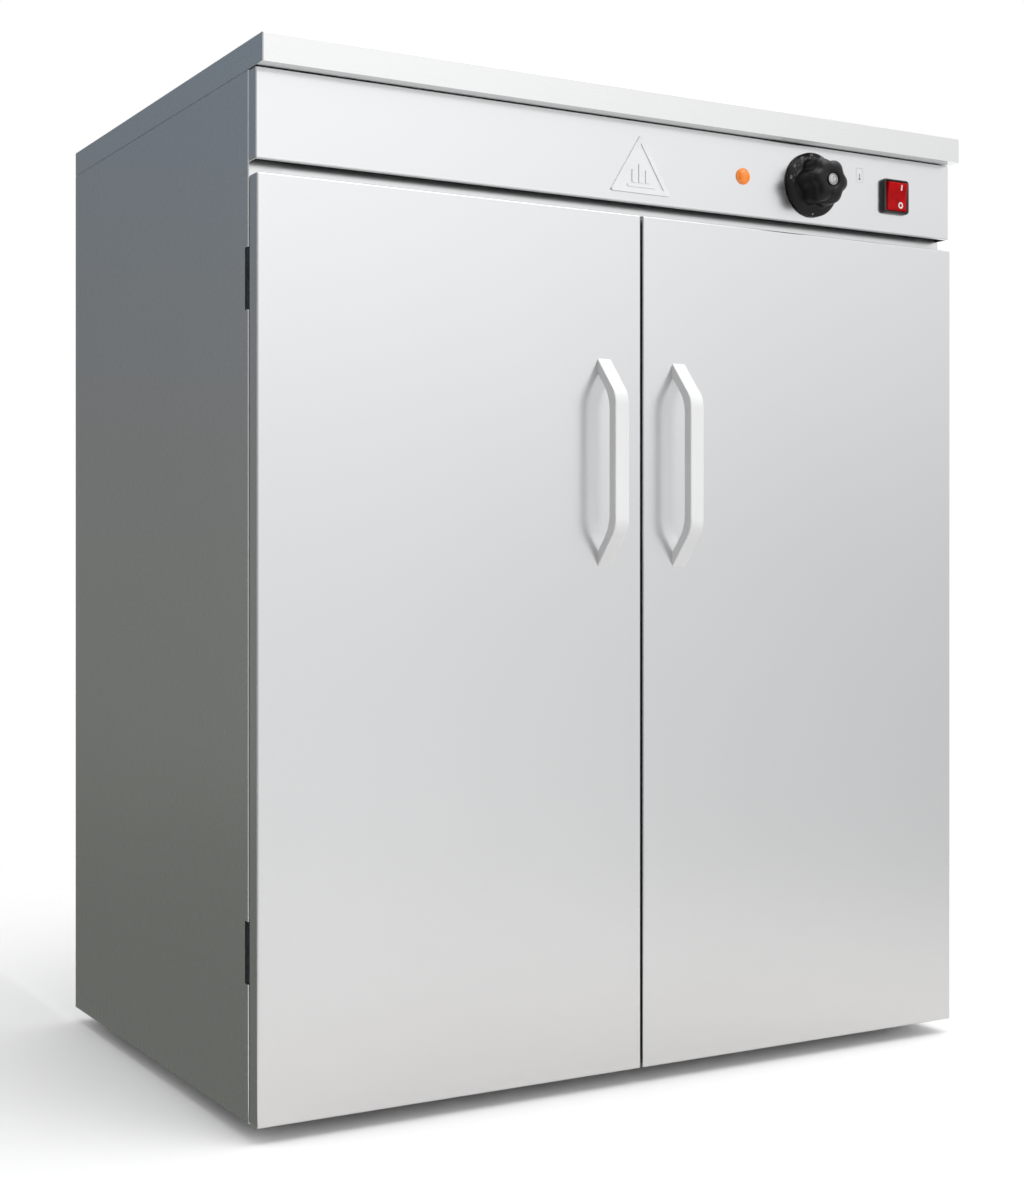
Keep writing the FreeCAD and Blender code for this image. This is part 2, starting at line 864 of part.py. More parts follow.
def make_shelf(level, height):
    """Rods round the edge and across, with thinner wires laid on them from front to back."""
    name = f"{level}_shelf"
    rod_z = f"{height} + shelf_rod"
    half = "shelf_half - shelf_rod"
    front_y = "shelf_front + shelf_rod"
    back_y = "shelf_back - shelf_rod"
    depth = f"({back_y}) - ({front_y})"
    pieces = []
    for number in range(4):
        y = f"{front_y} + ({depth}) * {number} / 3"
        pieces.append(rod(f"{name}_cross_rod_{number}", (f"-({half})", y, rod_z), "shelf_rod",
                          f"2 * ({half})", "x"))
    for word, side in SIDES.items():
        x = f"{side} * ({half})"
        pieces.append(rod(f"{name}_{word}_rod", (x, front_y, rod_z), "shelf_rod", depth, "y"))
        pieces.append(ball(f"{name}_{word}_front_corner", (x, front_y, rod_z), "shelf_rod"))
        pieces.append(ball(f"{name}_{word}_back_corner", (x, back_y, rod_z), "shelf_rod"))
    count = int(size("shelf_wire_count"))
    wire_z = f"{rod_z} + shelf_rod + shelf_wire - shelf_weld"
    for number in range(count):
        x = f"({half}) * (2 * {number + 1} / (shelf_wire_count + 1) - 1)"
        pieces.append(rod(f"{name}_wire_{number}", (x, f"{front_y} - shelf_rod / 2", wire_z),
                          "shelf_wire", f"{depth} + shelf_rod", "y"))
    return joined(name, pieces)


def make_deck():
    """The perforated plate over the heating element."""
    plate = span("deck_sheet", ("-(cavity_half - shelf_side_gap)", "cavity_half - shelf_side_gap"),
                 ("shelf_front", "shelf_back"), ("deck_top - deck_skin", "deck_top"))
    columns = int(size("deck_slot_columns"))
    rows = int(size("deck_slot_rows"))
    slots = []
    for column in range(columns):
        for row in range(rows):
            middle_x = f"(cavity_half - deck_side_margin) * (2 * {column} / {columns - 1} - 1)"
            step = f"(shelf_back - shelf_front - 2 * deck_end_margin) / {rows - 1}"
            middle_y = f"shelf_front + deck_end_margin + {row} * {step}"
            corner = (f"{middle_x} - deck_slot_length / 2", f"{middle_y} - deck_slot_width / 2",
                      "deck_top - deck_skin - 1")
            slots.append(box(f"deck_slot_{column}_{row}", corner,
                             ("deck_slot_length", "deck_slot_width", "deck_skin + 2")))
    return cut("element_cover", plate, slots)


# ---- heating -------------------------------------------------------------------------------

def make_element():
    """A sheathed tubular element: one loop round the cavity floor, its ends through the back."""
    z = size("element_z")
    middle = size("element_centre")
    near_y = middle - size("element_half_depth")
    far_y = middle + size("element_half_depth")
    half = size("element_half_width")
    tail = size("element_tail")
    end_y = size("cavity_back") + size("element_tail_exit")
    points = [(-tail, end_y, z), (-tail, far_y, z), (-half, far_y, z), (-half, near_y, z)]
    points += [(-x, y, height) for x, y, height in reversed(points)]
    return coded("heating_element", bent_tube(points, size("element_radius"), size("element_bend")))


def make_clips():
    """Saddles that hold the element off the cavity floor."""
    clips = []
    for word, side in SIDES.items():
        for end, way in (("front", -1), ("rear", 1)):
            name = f"{word}_{end}_clip"
            x = f"{side} * element_half_width"
            y = f"element_centre + {way} * element_half_depth / 3"
            block = box(name + "_block", (f"{x} - clip_depth / 2", f"{y} - clip_width / 2",
                                          "cavity_floor"),
                        ("clip_depth", "clip_width", "element_clearance + clip_grip"))
            seat = rod(name + "_seat", (x, f"{y} - clip_width", "element_z"),
                       "element_radius", "2 * clip_width", "y")
            clips.append(cut(name, block, [seat]))
    return grouped("element_clips", clips)


# ---- controls ------------------------------------------------------------------------------

def make_fascia():
    """The control panel: a folded pan, open underneath behind a short lip."""
    body = folded_pan(
        "control_fascia",
        ("-(half_width - fascia_side_gap)", "fascia_front", "fascia_bottom"),
        "2 * (half_width - fascia_side_gap)",
        "fascia_height",
        "fascia_depth",
        "fascia_skin",
        "fascia_bead",
    )
    middle = "half_width - fascia_side_gap"
    under = sketch_on(body, "fascia_underside_outline", "XY_Plane")
    rectangle(under, ("fascia_skin", "fascia_skin + fascia_lip"),
              (f"2 * ({middle}) - fascia_skin", "fascia_depth"))
    pocket(body, "fascia_underside", under, "fascia_skin", reverse=True)
    front_hole(body, "shaft_hole", (f"{middle} + thermostat_centre", "control_height"),
               "shaft_radius + 1", "fascia_skin")
    front_hole(body, "lamp_hole", (f"{middle} + lamp_centre", "control_height"),
               "lamp_barrel_radius", "fascia_skin")
    opening = sketch_on(body, "switch_cutout_outline", "XZ_Plane")
    half_x = "(rocker_width / 2 + barrel_side_wall + rocker_clearance)"
    half_z = "(rocker_height / 2 + barrel_end_wall + rocker_clearance)"
    x = f"{middle} + switch_centre"
    z = "switch_z - fascia_bottom"
    rectangle(opening, (f"{x} - {half_x}", f"{z} - {half_z}"), (f"{x} + {half_x}", f"{z} + {half_z}"))
    pocket(body, "switch_cutout", opening, "fascia_skin")
    return body


def make_badge():
    """A raised triangle with a rim, three upright ribs and a bar, stuck on the fascia."""
    body = new_body("triangle_badge", ("0", "fascia_front", "fascia_bottom + badge_bottom"))
    outline = sketch_on(body, "badge_outline", "XZ_Plane")
    polygon(outline, [("-badge_half_width", "0"), ("badge_half_width", "0"), ("0", "badge_rise")])
    pad(body, "badge_plate", outline, "badge_thickness")
    inner = sketch_on(body, "badge_recess_outline", "XZ_Plane", "badge_thickness")
    slant = "sqrt(badge_half_width * badge_half_width + badge_rise * badge_rise)"
    inner_top = f"badge_rise - badge_rim * {slant} / badge_half_width"
    inner_half = f"(badge_half_width * (({inner_top}) - badge_rim) / badge_rise)"
    polygon(inner, [(f"-{inner_half}", "badge_rim"), (inner_half, "badge_rim"), ("0", inner_top)])
    pocket(body, "badge_recess", inner, "badge_thickness / 2")
    ribs = sketch_on(body, "badge_ribs_outline", "XZ_Plane", "badge_thickness / 2")
    for step in (-1, 0, 1):
        x = f"{step} * badge_rib_spacing"
        foot = "badge_rim + badge_rib_foot"
        rectangle(ribs, (f"{x} - badge_rib_width / 2", foot),
                  (f"{x} + badge_rib_width / 2", f"{foot} + badge_rib_height * {1 - 0.3 * abs(step)}"))
    bar_foot = "badge_rim + badge_bar_foot"
    rectangle(ribs, ("-2 * badge_rib_spacing", bar_foot),
              ("2 * badge_rib_spacing", f"{bar_foot} + badge_bar_height"))
    pad(body, "badge_ribs", ribs, "badge_thickness / 2")

    def corner(b):
        return near(b.XMin, b.XMax) and near(b.ZMin, b.ZMax) and near(b.YMax, 0) and b.YLength > 1

    round_edges(body, "badge_corners", "badge_thickness", corner)
    return body


def make_thermostat():
    """The thermostat behind the fascia, bored for its shaft, and its capillary and bulb."""
    back_of_fascia = "fascia_front + fascia_skin"
    body = box(
        "thermostat_case",
        ("thermostat_centre - thermostat_width / 2", back_of_fascia,
         "control_z - thermostat_height / 2"),
        ("thermostat_width", "thermostat_depth", "thermostat_height"),
    )
    bore = rod("thermostat_bore", ("thermostat_centre", f"{back_of_fascia} - 1", "control_z"),
               "shaft_radius + running_clearance", "shaft_bore_depth + 1", "y")
    case = cut("thermostat", body, [bore])
    x = size("thermostat_centre")
    y = size("fascia_front") + size("fascia_skin") + size("thermostat_depth")
    top = size("control_z")
    bulb_z = size("cavity_top") - 3 * size("bulb_radius")
    down = size("probe_y")
    bulb_start = down + size("probe_run")
    points = [(x, y, top), (x, down, top), (x, down, bulb_z), (x, bulb_start, bulb_z)]
    capillary = bent_tube(points, size("capillary_radius"), 5 * size("capillary_radius"))
    bulb = Part.makeCylinder(
        size("bulb_radius"),
        size("bulb_length"),
        FreeCAD.Vector(x, bulb_start, bulb_z),
        FreeCAD.Vector(0, 1, 0),
    )
    return [case, coded("thermostat_probe", capillary.fuse(bulb))]


def make_shaft():
    return rod(
        "thermostat_shaft",
        ("thermostat_centre", "fascia_front - shaft_reach", "control_z"),
        "shaft_radius",
        "shaft_reach + fascia_skin + shaft_bore_depth - 1",
        "y",
    )


def make_knob():
    """A dial skirt with a lobed grip, turned about the shaft, and recessed for its cap."""
    body = new_body("thermostat_knob", ("thermostat_centre", "fascia_front", "control_z"))
    profile = sketch_on(body, "knob_profile", "XY_Plane")
    skirt_front = "-(knob_gap + knob_skirt_thickness)"
    polygon(profile, [
        ("0", "-knob_depth + knob_cap_thickness"),
        ("0", "-shaft_reach"),
        ("shaft_radius", "-shaft_reach"),
        ("shaft_radius", "-knob_gap"),
        ("knob_skirt_radius", "-knob_gap"),
        ("knob_skirt_radius", "-knob_gap - knob_skirt_thickness / 2"),
        ("knob_skirt_radius - knob_skirt_slope", skirt_front),
        ("knob_grip_radius", skirt_front),
        ("knob_grip_radius", "-knob_depth + knob_shoulder + 1"),
        ("knob_grip_radius - knob_shoulder", "-knob_depth + 1"),
        ("knob_grip_radius - knob_crown", "-knob_depth"),
        ("knob_cap_radius", "-knob_depth"),
        ("knob_cap_radius", "-knob_depth + knob_cap_thickness"),
    ])
    turned = body.newObject("PartDesign::Revolution", "knob_turning")
    turned.Profile = profile
    turned.ReferenceAxis = (profile, ["V_Axis"])
    turned.Angle = 360
    scallop = sketch_on(body, "knob_scallop_outline", "XZ_Plane", "knob_gap + knob_skirt_thickness")
    circle(scallop, ("0", "knob_grip_radius + knob_scallop - knob_scallop_bite"), "knob_scallop")
    document.recompute()
    bite = pocket(body, "knob_scallop_cut", scallop, "knob_depth", reverse=True)
    ring = body.newObject("PartDesign::PolarPattern", "knob_scallops")
    ring.Originals = [bite]
    ring.Axis = (scallop, ["N_Axis"])
    ring.Angle = 360
    ring.Occurrences = int(size("knob_lobes"))
    body.Tip = ring
    document.recompute()
    return body


def make_knob_cap():
    return rod(
        "knob_cap",
        ("thermostat_centre", "fascia_front - knob_depth", "control_z"),
        "knob_cap_radius",
        "knob_cap_thickness",
        "y",
    )


def make_switch():
    """The switch housing with its bezel, and the rocker that tilts on two trunnions."""
    body = new_body("switch_housing", ("switch_centre", "fascia_front", "switch_z"))
    outline = sketch_on(body, "bezel_outline", "XZ_Plane")
    rectangle(outline, ("-bezel_width / 2", "-bezel_height / 2"),
              ("bezel_width / 2", "bezel_height / 2"))
    pad(body, "bezel", outline, "bezel_depth")
    shape = body.Tip.Shape.BoundBox

    def bezel_edge(b):
        upright = near(b.YMin, shape.YMin) and near(b.YMax, 0) and near(b.XMin, b.XMax)
        return upright or near(b.YMax, shape.YMin)

    round_edges(body, "bezel_beads", "bezel_bead", bezel_edge)
    barrel = sketch_on(body, "switch_barrel_outline", "XZ_Plane")
    half_x = "(rocker_width / 2 + barrel_side_wall + rocker_clearance)"
    half_z = "(rocker_height / 2 + barrel_end_wall + rocker_clearance)"
    rectangle(barrel, (f"-{half_x}", f"-{half_z}"), (half_x, half_z))
    pad(body, "switch_barrel", barrel, "switch_body_depth", reverse=True)
    well = sketch_on(body, "rocker_well_outline", "XZ_Plane", "bezel_depth + 1")
    half_well = "(rocker_width / 2 + rocker_clearance / 2)"
    half_tall = "(rocker_height / 2 + rocker_clearance)"
    rectangle(well, (f"-{half_well}", f"-{half_tall}"), (half_well, half_tall))
    pocket(body, "rocker_well_cut", well, "bezel_depth + 1 + rocker_well")
    axle = sketch_on(body, "trunnion_hole_outline", "YZ_Plane",
                     "-(rocker_width / 2 + trunnion_reach)")
    circle(axle, ("-pivot_rise", "0"), "trunnion_radius + running_clearance")
    pocket(body, "trunnion_hole", axle, "rocker_width + 2 * trunnion_reach", reverse=True)

    turn = FreeCAD.Rotation(FreeCAD.Vector(1, 0, 0), size("rocker_tilt"))
    rocker = new_body("switch_rocker", ("switch_centre", "fascia_front - pivot_rise", "switch_z"), turn)
    side = sketch_on(rocker, "rocker_profile", "YZ_Plane")
    face = "-(rocker_depth + rocker_crown)"
    end = "rocker_height / 2 - rocker_end_gap"
    polygon(side, [
        ("rocker_belly", "-rocker_height / 3"),
        ("rocker_belly", "rocker_height / 3"),
        ("0", end),
        (face, end),
        ("-rocker_depth", "0"),
        (face, f"-({end})"),
        ("0", f"-({end})"),
    ])
    pad(rocker, "rocker_block", side, "rocker_width", midplane=True)
    pins = sketch_on(rocker, "trunnion_outline", "YZ_Plane")
    circle(pins, ("0", "0"), "trunnion_radius")
    pad(rocker, "trunnions", pins, "rocker_width + 2 * (trunnion_reach - trunnion_play)",
        midplane=True)
    return [body, rocker]


def make_lamp():
    """A domed lens over a lamp barrel that goes through the fascia."""
    lens = new_body("lamp_lens", ("lamp_centre", "fascia_front", "control_z"))
    profile = sketch_on(lens, "lens_profile", "XY_Plane")
    polygon(profile, [
        ("0", "-lamp_dome"),
        ("0", "0"),
        ("lamp_radius", "0"),
        ("lamp_radius", "-lamp_dome / 3"),
        ("lamp_radius * 0.85", "-lamp_dome * 0.66"),
        ("lamp_radius * 0.5", "-lamp_dome * 0.93"),
    ])
    dome = lens.newObject("PartDesign::Revolution", "lens_turning")
    dome.Profile = profile
    dome.ReferenceAxis = (profile, ["V_Axis"])
    dome.Angle = 360
    document.recompute()
    barrel = rod("lamp_body", ("lamp_centre", "fascia_front", "control_z"),
                 "lamp_barrel_radius", "lamp_barrel_depth", "y")
    return [lens, barrel]


def make_gland():
    """A cable gland through the back panel, with its locknut inside."""
    z = "control_z"
    flange = rod("gland_collar", ("-gland_centre", "back", z), "gland_radius", "gland_flange", "y")
    dome = document.addObject("Part::Cone", "gland_dome")
    bind(dome, "Radius1", "gland_radius - 1")
    bind(dome, "Radius2", "gland_neck")
    bind(dome, "Height", "gland_reach - gland_flange")
    place(dome, ("-gland_centre", "back + gland_flange", z), TURNS["y"])
    neck = rod("gland_thread", ("-gland_centre", "back - case_skin - gland_tail", z), "gland_neck",
               "gland_tail + case_skin + 1", "y")
    locknut = rod("gland_locknut", ("-gland_centre", "back - case_skin - gland_nut", z),
                  "gland_radius", "gland_nut", "y")
    bore = rod("gland_bore_tool", ("-gland_centre", "back - case_skin - gland_tail - 1", z),
               "gland_bore", "gland_reach + gland_tail + case_skin + 2", "y")
    solid = joined("gland_solid", [flange, dome, neck, locknut])
    return cut("cable_gland", solid, [bore])


def make_terminals():
    """The mains terminal block, on the top insulation's cover near the cable gland."""
    block = box(
        "terminal_block_body",
        ("-gland_centre - terminal_width / 2", "cavity_back - terminal_inset", "slab_top"),
        ("terminal_width", "terminal_depth", "terminal_height"),
    )
    well_y = "cavity_back - terminal_inset + terminal_depth / 2"
    well_z = "slab_top + terminal_height - terminal_well_depth"
    wells = [
        rod(f"terminal_well_{step}", (f"-gland_centre + {step} * terminal_pitch", well_y, well_z),
            "terminal_well_radius", "terminal_well_depth + 1")
        for step in (-1.5, -0.5, 0.5, 1.5)
    ]
    return cut("terminal_block", block, wells)


def make_wiring():
    """Insulated wires laid in square runs from the terminals to the switch, lamp and thermostat."""
    start_y = size("cavity_back") - size("terminal_inset")
    fascia_y = size("fascia_front")
    thermostat_back = fascia_y + size("fascia_skin") + size("thermostat_depth")
    switch_back = fascia_y + size("switch_body_depth")
    low = size("slab_top") + size("wire_lift")
    targets = [
        (size("switch_centre") + size("switch_tab"), switch_back, size("switch_z")),
        (size("switch_centre") - size("switch_tab"), switch_back, size("switch_z")),
        (size("thermostat_centre") - size("thermostat_tab"), thermostat_back, size("control_z")),
        (size("lamp_centre"), fascia_y + size("lamp_barrel_depth"), size("control_z")),
    ]
    wires = []
    for number, (x, y, z) in enumerate(targets):
        start_x = (1.5 - number) * size("terminal_pitch") - size("gland_centre")
        turn_y = fascia_y + size("wire_turn") + size("wire_spacing") * (len(targets) - 1 - number)
        points = [
            (start_x, start_y, low),
            (start_x, turn_y, low),
            (x, turn_y, low),
            (x, turn_y - size("wire_rise"), z),
            (x, y, z),
        ]
        wires.append(bent_tube(points, size("wire_radius"), size("wire_bend")))
    return coded("wiring", Part.makeCompound(wires))


# ---- hinges --------------------------------------------------------------------------------

def knuckle_levels(bottom, first):
    """The two barrel sections that belong to one leaf: 0 and 2 to the case, 1 and 3 to the door."""
    return [(number, f"{bottom} + {number} * (knuckle + hinge_play)") for number in (first, first + 2)]


def hinge_leaf(name, side, bottom, owner):
    """A leaf with two knuckles. The case's lies behind the stile, the door's on the door's back."""
    on_door = owner == "door"
    y_range = ("door_back", "door_back + hinge_leaf")
    plate_outer = "hinge_x"
    if not on_door:
        y_range = ("case_front + frame_skin", "case_front + frame_skin + hinge_leaf")
        plate_outer = "half_width - 2 * hinge_barrel_radius - 1"
    plate = side_span(name + "_plate", side, "hinge_x - hinge_leaf_width", plate_outer, y_range,
                      (bottom, f"{bottom} + hinge_length"))
    pieces = [plate]
    axis_x = f"{side} * hinge_x"
    for number, z in knuckle_levels(bottom, 1 if on_door else 0):
        knuckle_z = (z, f"{z} + knuckle")
        pieces.append(rod(f"{name}_knuckle_{number}", (axis_x, "hinge_y", z),
                          "hinge_barrel_radius", "knuckle"))
        if on_door:
            pieces.append(side_span(f"{name}_web_{number}", side, "hinge_x - hinge_leaf",
                                    "hinge_x + hinge_leaf", ("door_back", "hinge_y"), knuckle_z))
        else:
            pieces.append(side_span(f"{name}_web_{number}", side,
                                    "half_width - 2 * hinge_barrel_radius - 2", "hinge_x",
                                    y_range, knuckle_z))
    clearance = "running_clearance" if on_door else "0"
    bore = rod(name + "_bore", (axis_x, "hinge_y", f"{bottom} - 1"),
               f"hinge_pin_radius + {clearance}", "hinge_length + 2")
    return cut(name, joined(name + "_solid", pieces), [bore])


def hinge_leaves(name, owner, words):
    """The leaves of one owner, case or door, at every hinge on the given sides."""
    leaves = [
        hinge_leaf(f"{word}_{level}_{owner}_leaf", SIDES[word], bottom, owner)
        for word in words
        for level, bottom in hinge_heights()
    ]
    return grouped(name, leaves)


def make_pins():
    pins = [
        rod(f"{word}_{level}_pin", (f"{side} * hinge_x", "hinge_y", bottom), "hinge_pin_radius",
            "hinge_length")
        for word, side in SIDES.items()
        for level, bottom in hinge_heights()
    ]
    return grouped("hinge_pins", pins)


# ---- doors ---------------------------------------------------------------------------------

def handle_screw_heights():
    return ("handle_bottom + handle_screw_inset",
            "handle_bottom + handle_length - handle_screw_inset")


def handle_screw_holes(name, side, start_y, length):
    return [
        rod(f"{name}_screw_hole_{number}", (f"{side} * handle_centre", start_y, z),
            "handle_screw_radius", length, "y")
        for number, z in enumerate(handle_screw_heights())
    ]


def make_door(word, side):
    low_x = "seam_gap / 2" if side > 0 else "-(seam_gap / 2 + door_width)"
    high_x = f"{low_x} + door_width"
    skin = folded_pan(f"{word}_door_skin", (low_x, "door_front", "foot_height"), "door_width",
                      "door_height", "door_thickness", "door_skin", "door_bead")
    handle_x = "handle_centre - seam_gap / 2"
    if side < 0:
        handle_x = "door_width + seam_gap / 2 - handle_centre"
    for number, z in enumerate(handle_screw_heights()):
        front_hole(skin, f"{word}_door_screw_hole_{number}", (handle_x, f"{z} - foot_height"),
                   "handle_screw_radius", "door_skin")
    inside_x = (f"{low_x} + door_skin", f"{high_x} - door_skin")
    inside_z = ("foot_height + door_skin", "door_top - door_skin")
    inner = span(f"{word}_door_liner_sheet", inside_x, ("door_back - door_skin", "door_back"),
                 inside_z)
    core = span(f"{word}_door_core", inside_x,
                ("door_front + door_skin", "door_back - door_skin"), inside_z)
    nodes = [
        skin,
        cut(f"{word}_door_liner", inner,
            handle_screw_holes(f"{word}_liner", side, "door_back - 2 * door_skin", "4")),
        cut(f"{word}_door_insulation", core,
            handle_screw_holes(f"{word}_core", side, "door_front", "door_thickness")),
        make_handle(word, side),
        make_handle_screws(word, side),
    ]
    strike = side_span(f"{word}_strike_plate", side, "catch_centre - catch_width / 2 - strike_margin",
                       "catch_centre + catch_width / 2 + strike_margin",
                       ("door_back", "door_back + strike_skin"),
                       ("cavity_top - catch_height - strike_margin",
                        "cavity_top + strike_margin"))
    return nodes + [strike]


def make_handle(word, side):
    """A bow handle: an upright bar whose ends slope down to the door."""
    body = new_body(f"{word}_handle", (f"{side} * handle_centre", "door_front", "handle_bottom"))
    side_view = sketch_on(body, f"{word}_handle_profile", "YZ_Plane")
    slant = "sqrt(handle_reach * handle_reach + handle_slope * handle_slope)"
    foot = f"(handle_thickness * {slant} / handle_reach)"
    inner_y = "(handle_reach - handle_thickness)"
    inner_z = f"({foot} + {inner_y} * handle_slope / handle_reach)"
    polygon(side_view, [
        ("0", "0"),
        ("-handle_reach", "handle_slope"),
        ("-handle_reach", "handle_length - handle_slope"),
        ("0", "handle_length"),
        ("0", f"handle_length - {foot}"),
        (f"-{inner_y}", f"handle_length - {inner_z}"),
        (f"-{inner_y}", inner_z),
        ("0", foot),
    ])
    pad(body, f"{word}_handle_bar", side_view, "handle_width", midplane=True)

    def long_edge(b):
        along = near(b.XMin, b.XMax)
        return along and not (near(b.YMin, 0) and near(b.YMax, 0))

    round_edges(body, f"{word}_handle_beads", "handle_bead", long_edge)
    holes = sketch_on(body, f"{word}_handle_hole_outline", "XZ_Plane")
    circle(holes, ("0", "handle_screw_inset"), "handle_screw_radius")
    circle(holes, ("0", "handle_length - handle_screw_inset"), "handle_screw_radius")
    pocket(body, f"{word}_handle_holes", holes, "handle_screw_bite", reverse=True)
    return body


def make_handle_screws(word, side):
    screws = []
    for number, z in enumerate(handle_screw_heights()):
        name = f"{word}_handle_screw_{number}"
        x = f"{side} * handle_centre"
        head = rod(name + "_head", (x, "door_back", z), "handle_screw_head_radius",
                   "handle_screw_head_height", "y")
        shank = rod(name + "_shank", (x, "door_front - handle_screw_bite", z),
                    "handle_screw_radius", "handle_screw_bite + door_thickness + 1", "y")
        screws.append(joined(name, [head, shank]))
    return grouped(f"{word}_handle_screws", screws)


def make_catches():
    """Magnetic catches under the top rail, a hair short of the doors' strike plates."""
    face = "door_back + strike_skin + catch_gap"
    catches = [
        side_span(f"{word}_magnetic_catch", side, "catch_centre - catch_width / 2",
                  "catch_centre + catch_width / 2", (face, f"{face} + catch_depth"),
                  ("cavity_top - catch_height", "cavity_top"))
        for word, side in SIDES.items()
    ]
    return grouped("magnetic_catches", catches)


# ---- the whole cabinet ---------------------------------------------------------------------

def make_cabinet():
    nodes = [make_worktop(), make_back_panel(), make_base_panel(), make_back_screws()]
    nodes += make_feet()
    nodes += [make_rail("bottom_rail", ("foot_height", "cavity_floor"))]
    nodes += [make_rail("top_rail", ("cavity_top", "rail_top"))]
    nodes += make_liner() + make_insulation()
    levels = dict(shelf_levels())
    nodes += [make_shelf(level, levels[level]) for level in ("lower", "upper")]
    nodes += [make_deck(), make_element(), make_clips()]
    nodes += [make_fascia(), make_badge(), make_shaft(), make_knob(), make_knob_cap()]
    nodes += make_thermostat() + make_switch() + make_lamp()
    nodes += [make_gland(), make_terminals(), make_wiring(), make_pins(), make_catches()]
    nodes += [hinge_leaves("case_hinge_leaves", "case", list(SIDES))]
    for word, side in SIDES.items():
        nodes += [make_side_panel(word, side), make_stile(word, side), make_runners(word, side)]
        nodes += [hinge_leaves(f"{word}_door_hinge_leaves", "door", [word])]
        nodes += make_door(word, side)
    return nodes


def check_and_write(nodes):
    """Refuse any failed object, then write each node's shape to its own file."""
    document.recompute()
    for item in document.Objects:
        if "Invalid" in item.State or "Error" in item.State:
            raise RuntimeError(f"{item.Label} failed: {item.State}")
    if len(nodes) > 60:
        raise RuntimeError(f"{len(nodes)} nodes, more than 60")
    os.makedirs("parts", exist_ok=True)
    for node in nodes:
        if node.Shape.isNull() or not node.Shape.isValid() or not node.Shape.Solids:
            raise RuntimeError(f"{node.Label} has no valid solid")
        node.Shape.exportStep(f"parts/{node.Label}.step")
    print(len(nodes), "nodes written")


check_and_write(make_cabinet())
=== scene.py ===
"""Food holding cabinet: finishes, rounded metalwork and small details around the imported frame."""

import json
import math

import bmesh
import bpy
from mathutils import Matrix, Vector

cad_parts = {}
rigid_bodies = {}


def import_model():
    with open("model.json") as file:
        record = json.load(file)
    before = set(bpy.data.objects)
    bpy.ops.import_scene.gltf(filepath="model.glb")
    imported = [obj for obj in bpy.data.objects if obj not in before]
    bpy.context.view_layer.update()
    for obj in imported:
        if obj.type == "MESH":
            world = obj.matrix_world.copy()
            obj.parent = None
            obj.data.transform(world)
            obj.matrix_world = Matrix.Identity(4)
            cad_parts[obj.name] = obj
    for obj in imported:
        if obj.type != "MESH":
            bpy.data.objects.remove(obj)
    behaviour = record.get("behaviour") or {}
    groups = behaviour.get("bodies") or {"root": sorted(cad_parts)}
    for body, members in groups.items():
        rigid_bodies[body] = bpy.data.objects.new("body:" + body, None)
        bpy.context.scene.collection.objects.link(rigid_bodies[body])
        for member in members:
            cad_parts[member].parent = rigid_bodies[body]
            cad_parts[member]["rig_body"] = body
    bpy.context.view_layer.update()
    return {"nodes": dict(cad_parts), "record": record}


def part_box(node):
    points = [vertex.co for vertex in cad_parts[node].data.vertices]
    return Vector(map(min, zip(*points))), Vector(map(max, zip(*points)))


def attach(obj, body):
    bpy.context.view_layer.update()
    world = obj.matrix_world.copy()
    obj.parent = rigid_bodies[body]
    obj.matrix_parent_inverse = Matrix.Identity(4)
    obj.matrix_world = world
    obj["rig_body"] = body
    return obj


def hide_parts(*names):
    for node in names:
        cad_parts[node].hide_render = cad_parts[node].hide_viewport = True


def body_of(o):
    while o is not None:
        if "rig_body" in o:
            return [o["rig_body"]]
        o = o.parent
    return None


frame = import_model()
nodes = frame["nodes"]

MM = 0.001

# sockets of the colour mix node
MIX_FIRST = 6
MIX_SECOND = 7
MIX_RESULT = 2


# ---------------------------------------------------------------- materials


def shader_of(name):
    """A new node material and its main shader."""
    material = bpy.data.materials.new(name)
    material.use_nodes = True
    return material, material.node_tree.nodes["Principled BSDF"]


def noise(tree, scale, detail=4.0, stretch=(1, 1, 1)):
    """A noise texture fixed to the piece; stretch divides the frequency along each axis."""
    place = tree.nodes.new("ShaderNodeTexCoord")
    fit = tree.nodes.new("ShaderNodeMapping")
    fit.inputs["Scale"].default_value = [1 / s for s in stretch]
    texture = tree.nodes.new("ShaderNodeTexNoise")
    texture.inputs["Scale"].default_value = scale
    texture.inputs["Detail"].default_value = detail
    tree.links.new(place.outputs["Object"], fit.inputs["Vector"])
    tree.links.new(fit.outputs["Vector"], texture.inputs["Vector"])
    return texture.outputs["Fac"]


def remap(tree, value, low, high, start=0.3, end=0.7):
    """Spreads a noise value from start..end to low..high."""
    node = tree.nodes.new("ShaderNodeMapRange")
    node.inputs["From Min"].default_value = start
    node.inputs["From Max"].default_value = end
    node.inputs["To Min"].default_value = low
    node.inputs["To Max"].default_value = high
    tree.links.new(value, node.inputs["Value"])
    return node.outputs["Result"]


def blend_colours(tree, factor, first, second):
    """A colour between two, by a factor of 0 to 1. Either colour may be a node's output."""
    node = tree.nodes.new("ShaderNodeMix")
    node.data_type = "RGBA"
    for socket, colour in ((MIX_FIRST, first), (MIX_SECOND, second)):
        if isinstance(colour, tuple):
            node.inputs[socket].default_value = (*colour, 1)
        else:
            tree.links.new(colour, node.inputs[socket])
    tree.links.new(factor, node.inputs[0])
    return node.outputs[MIX_RESULT]


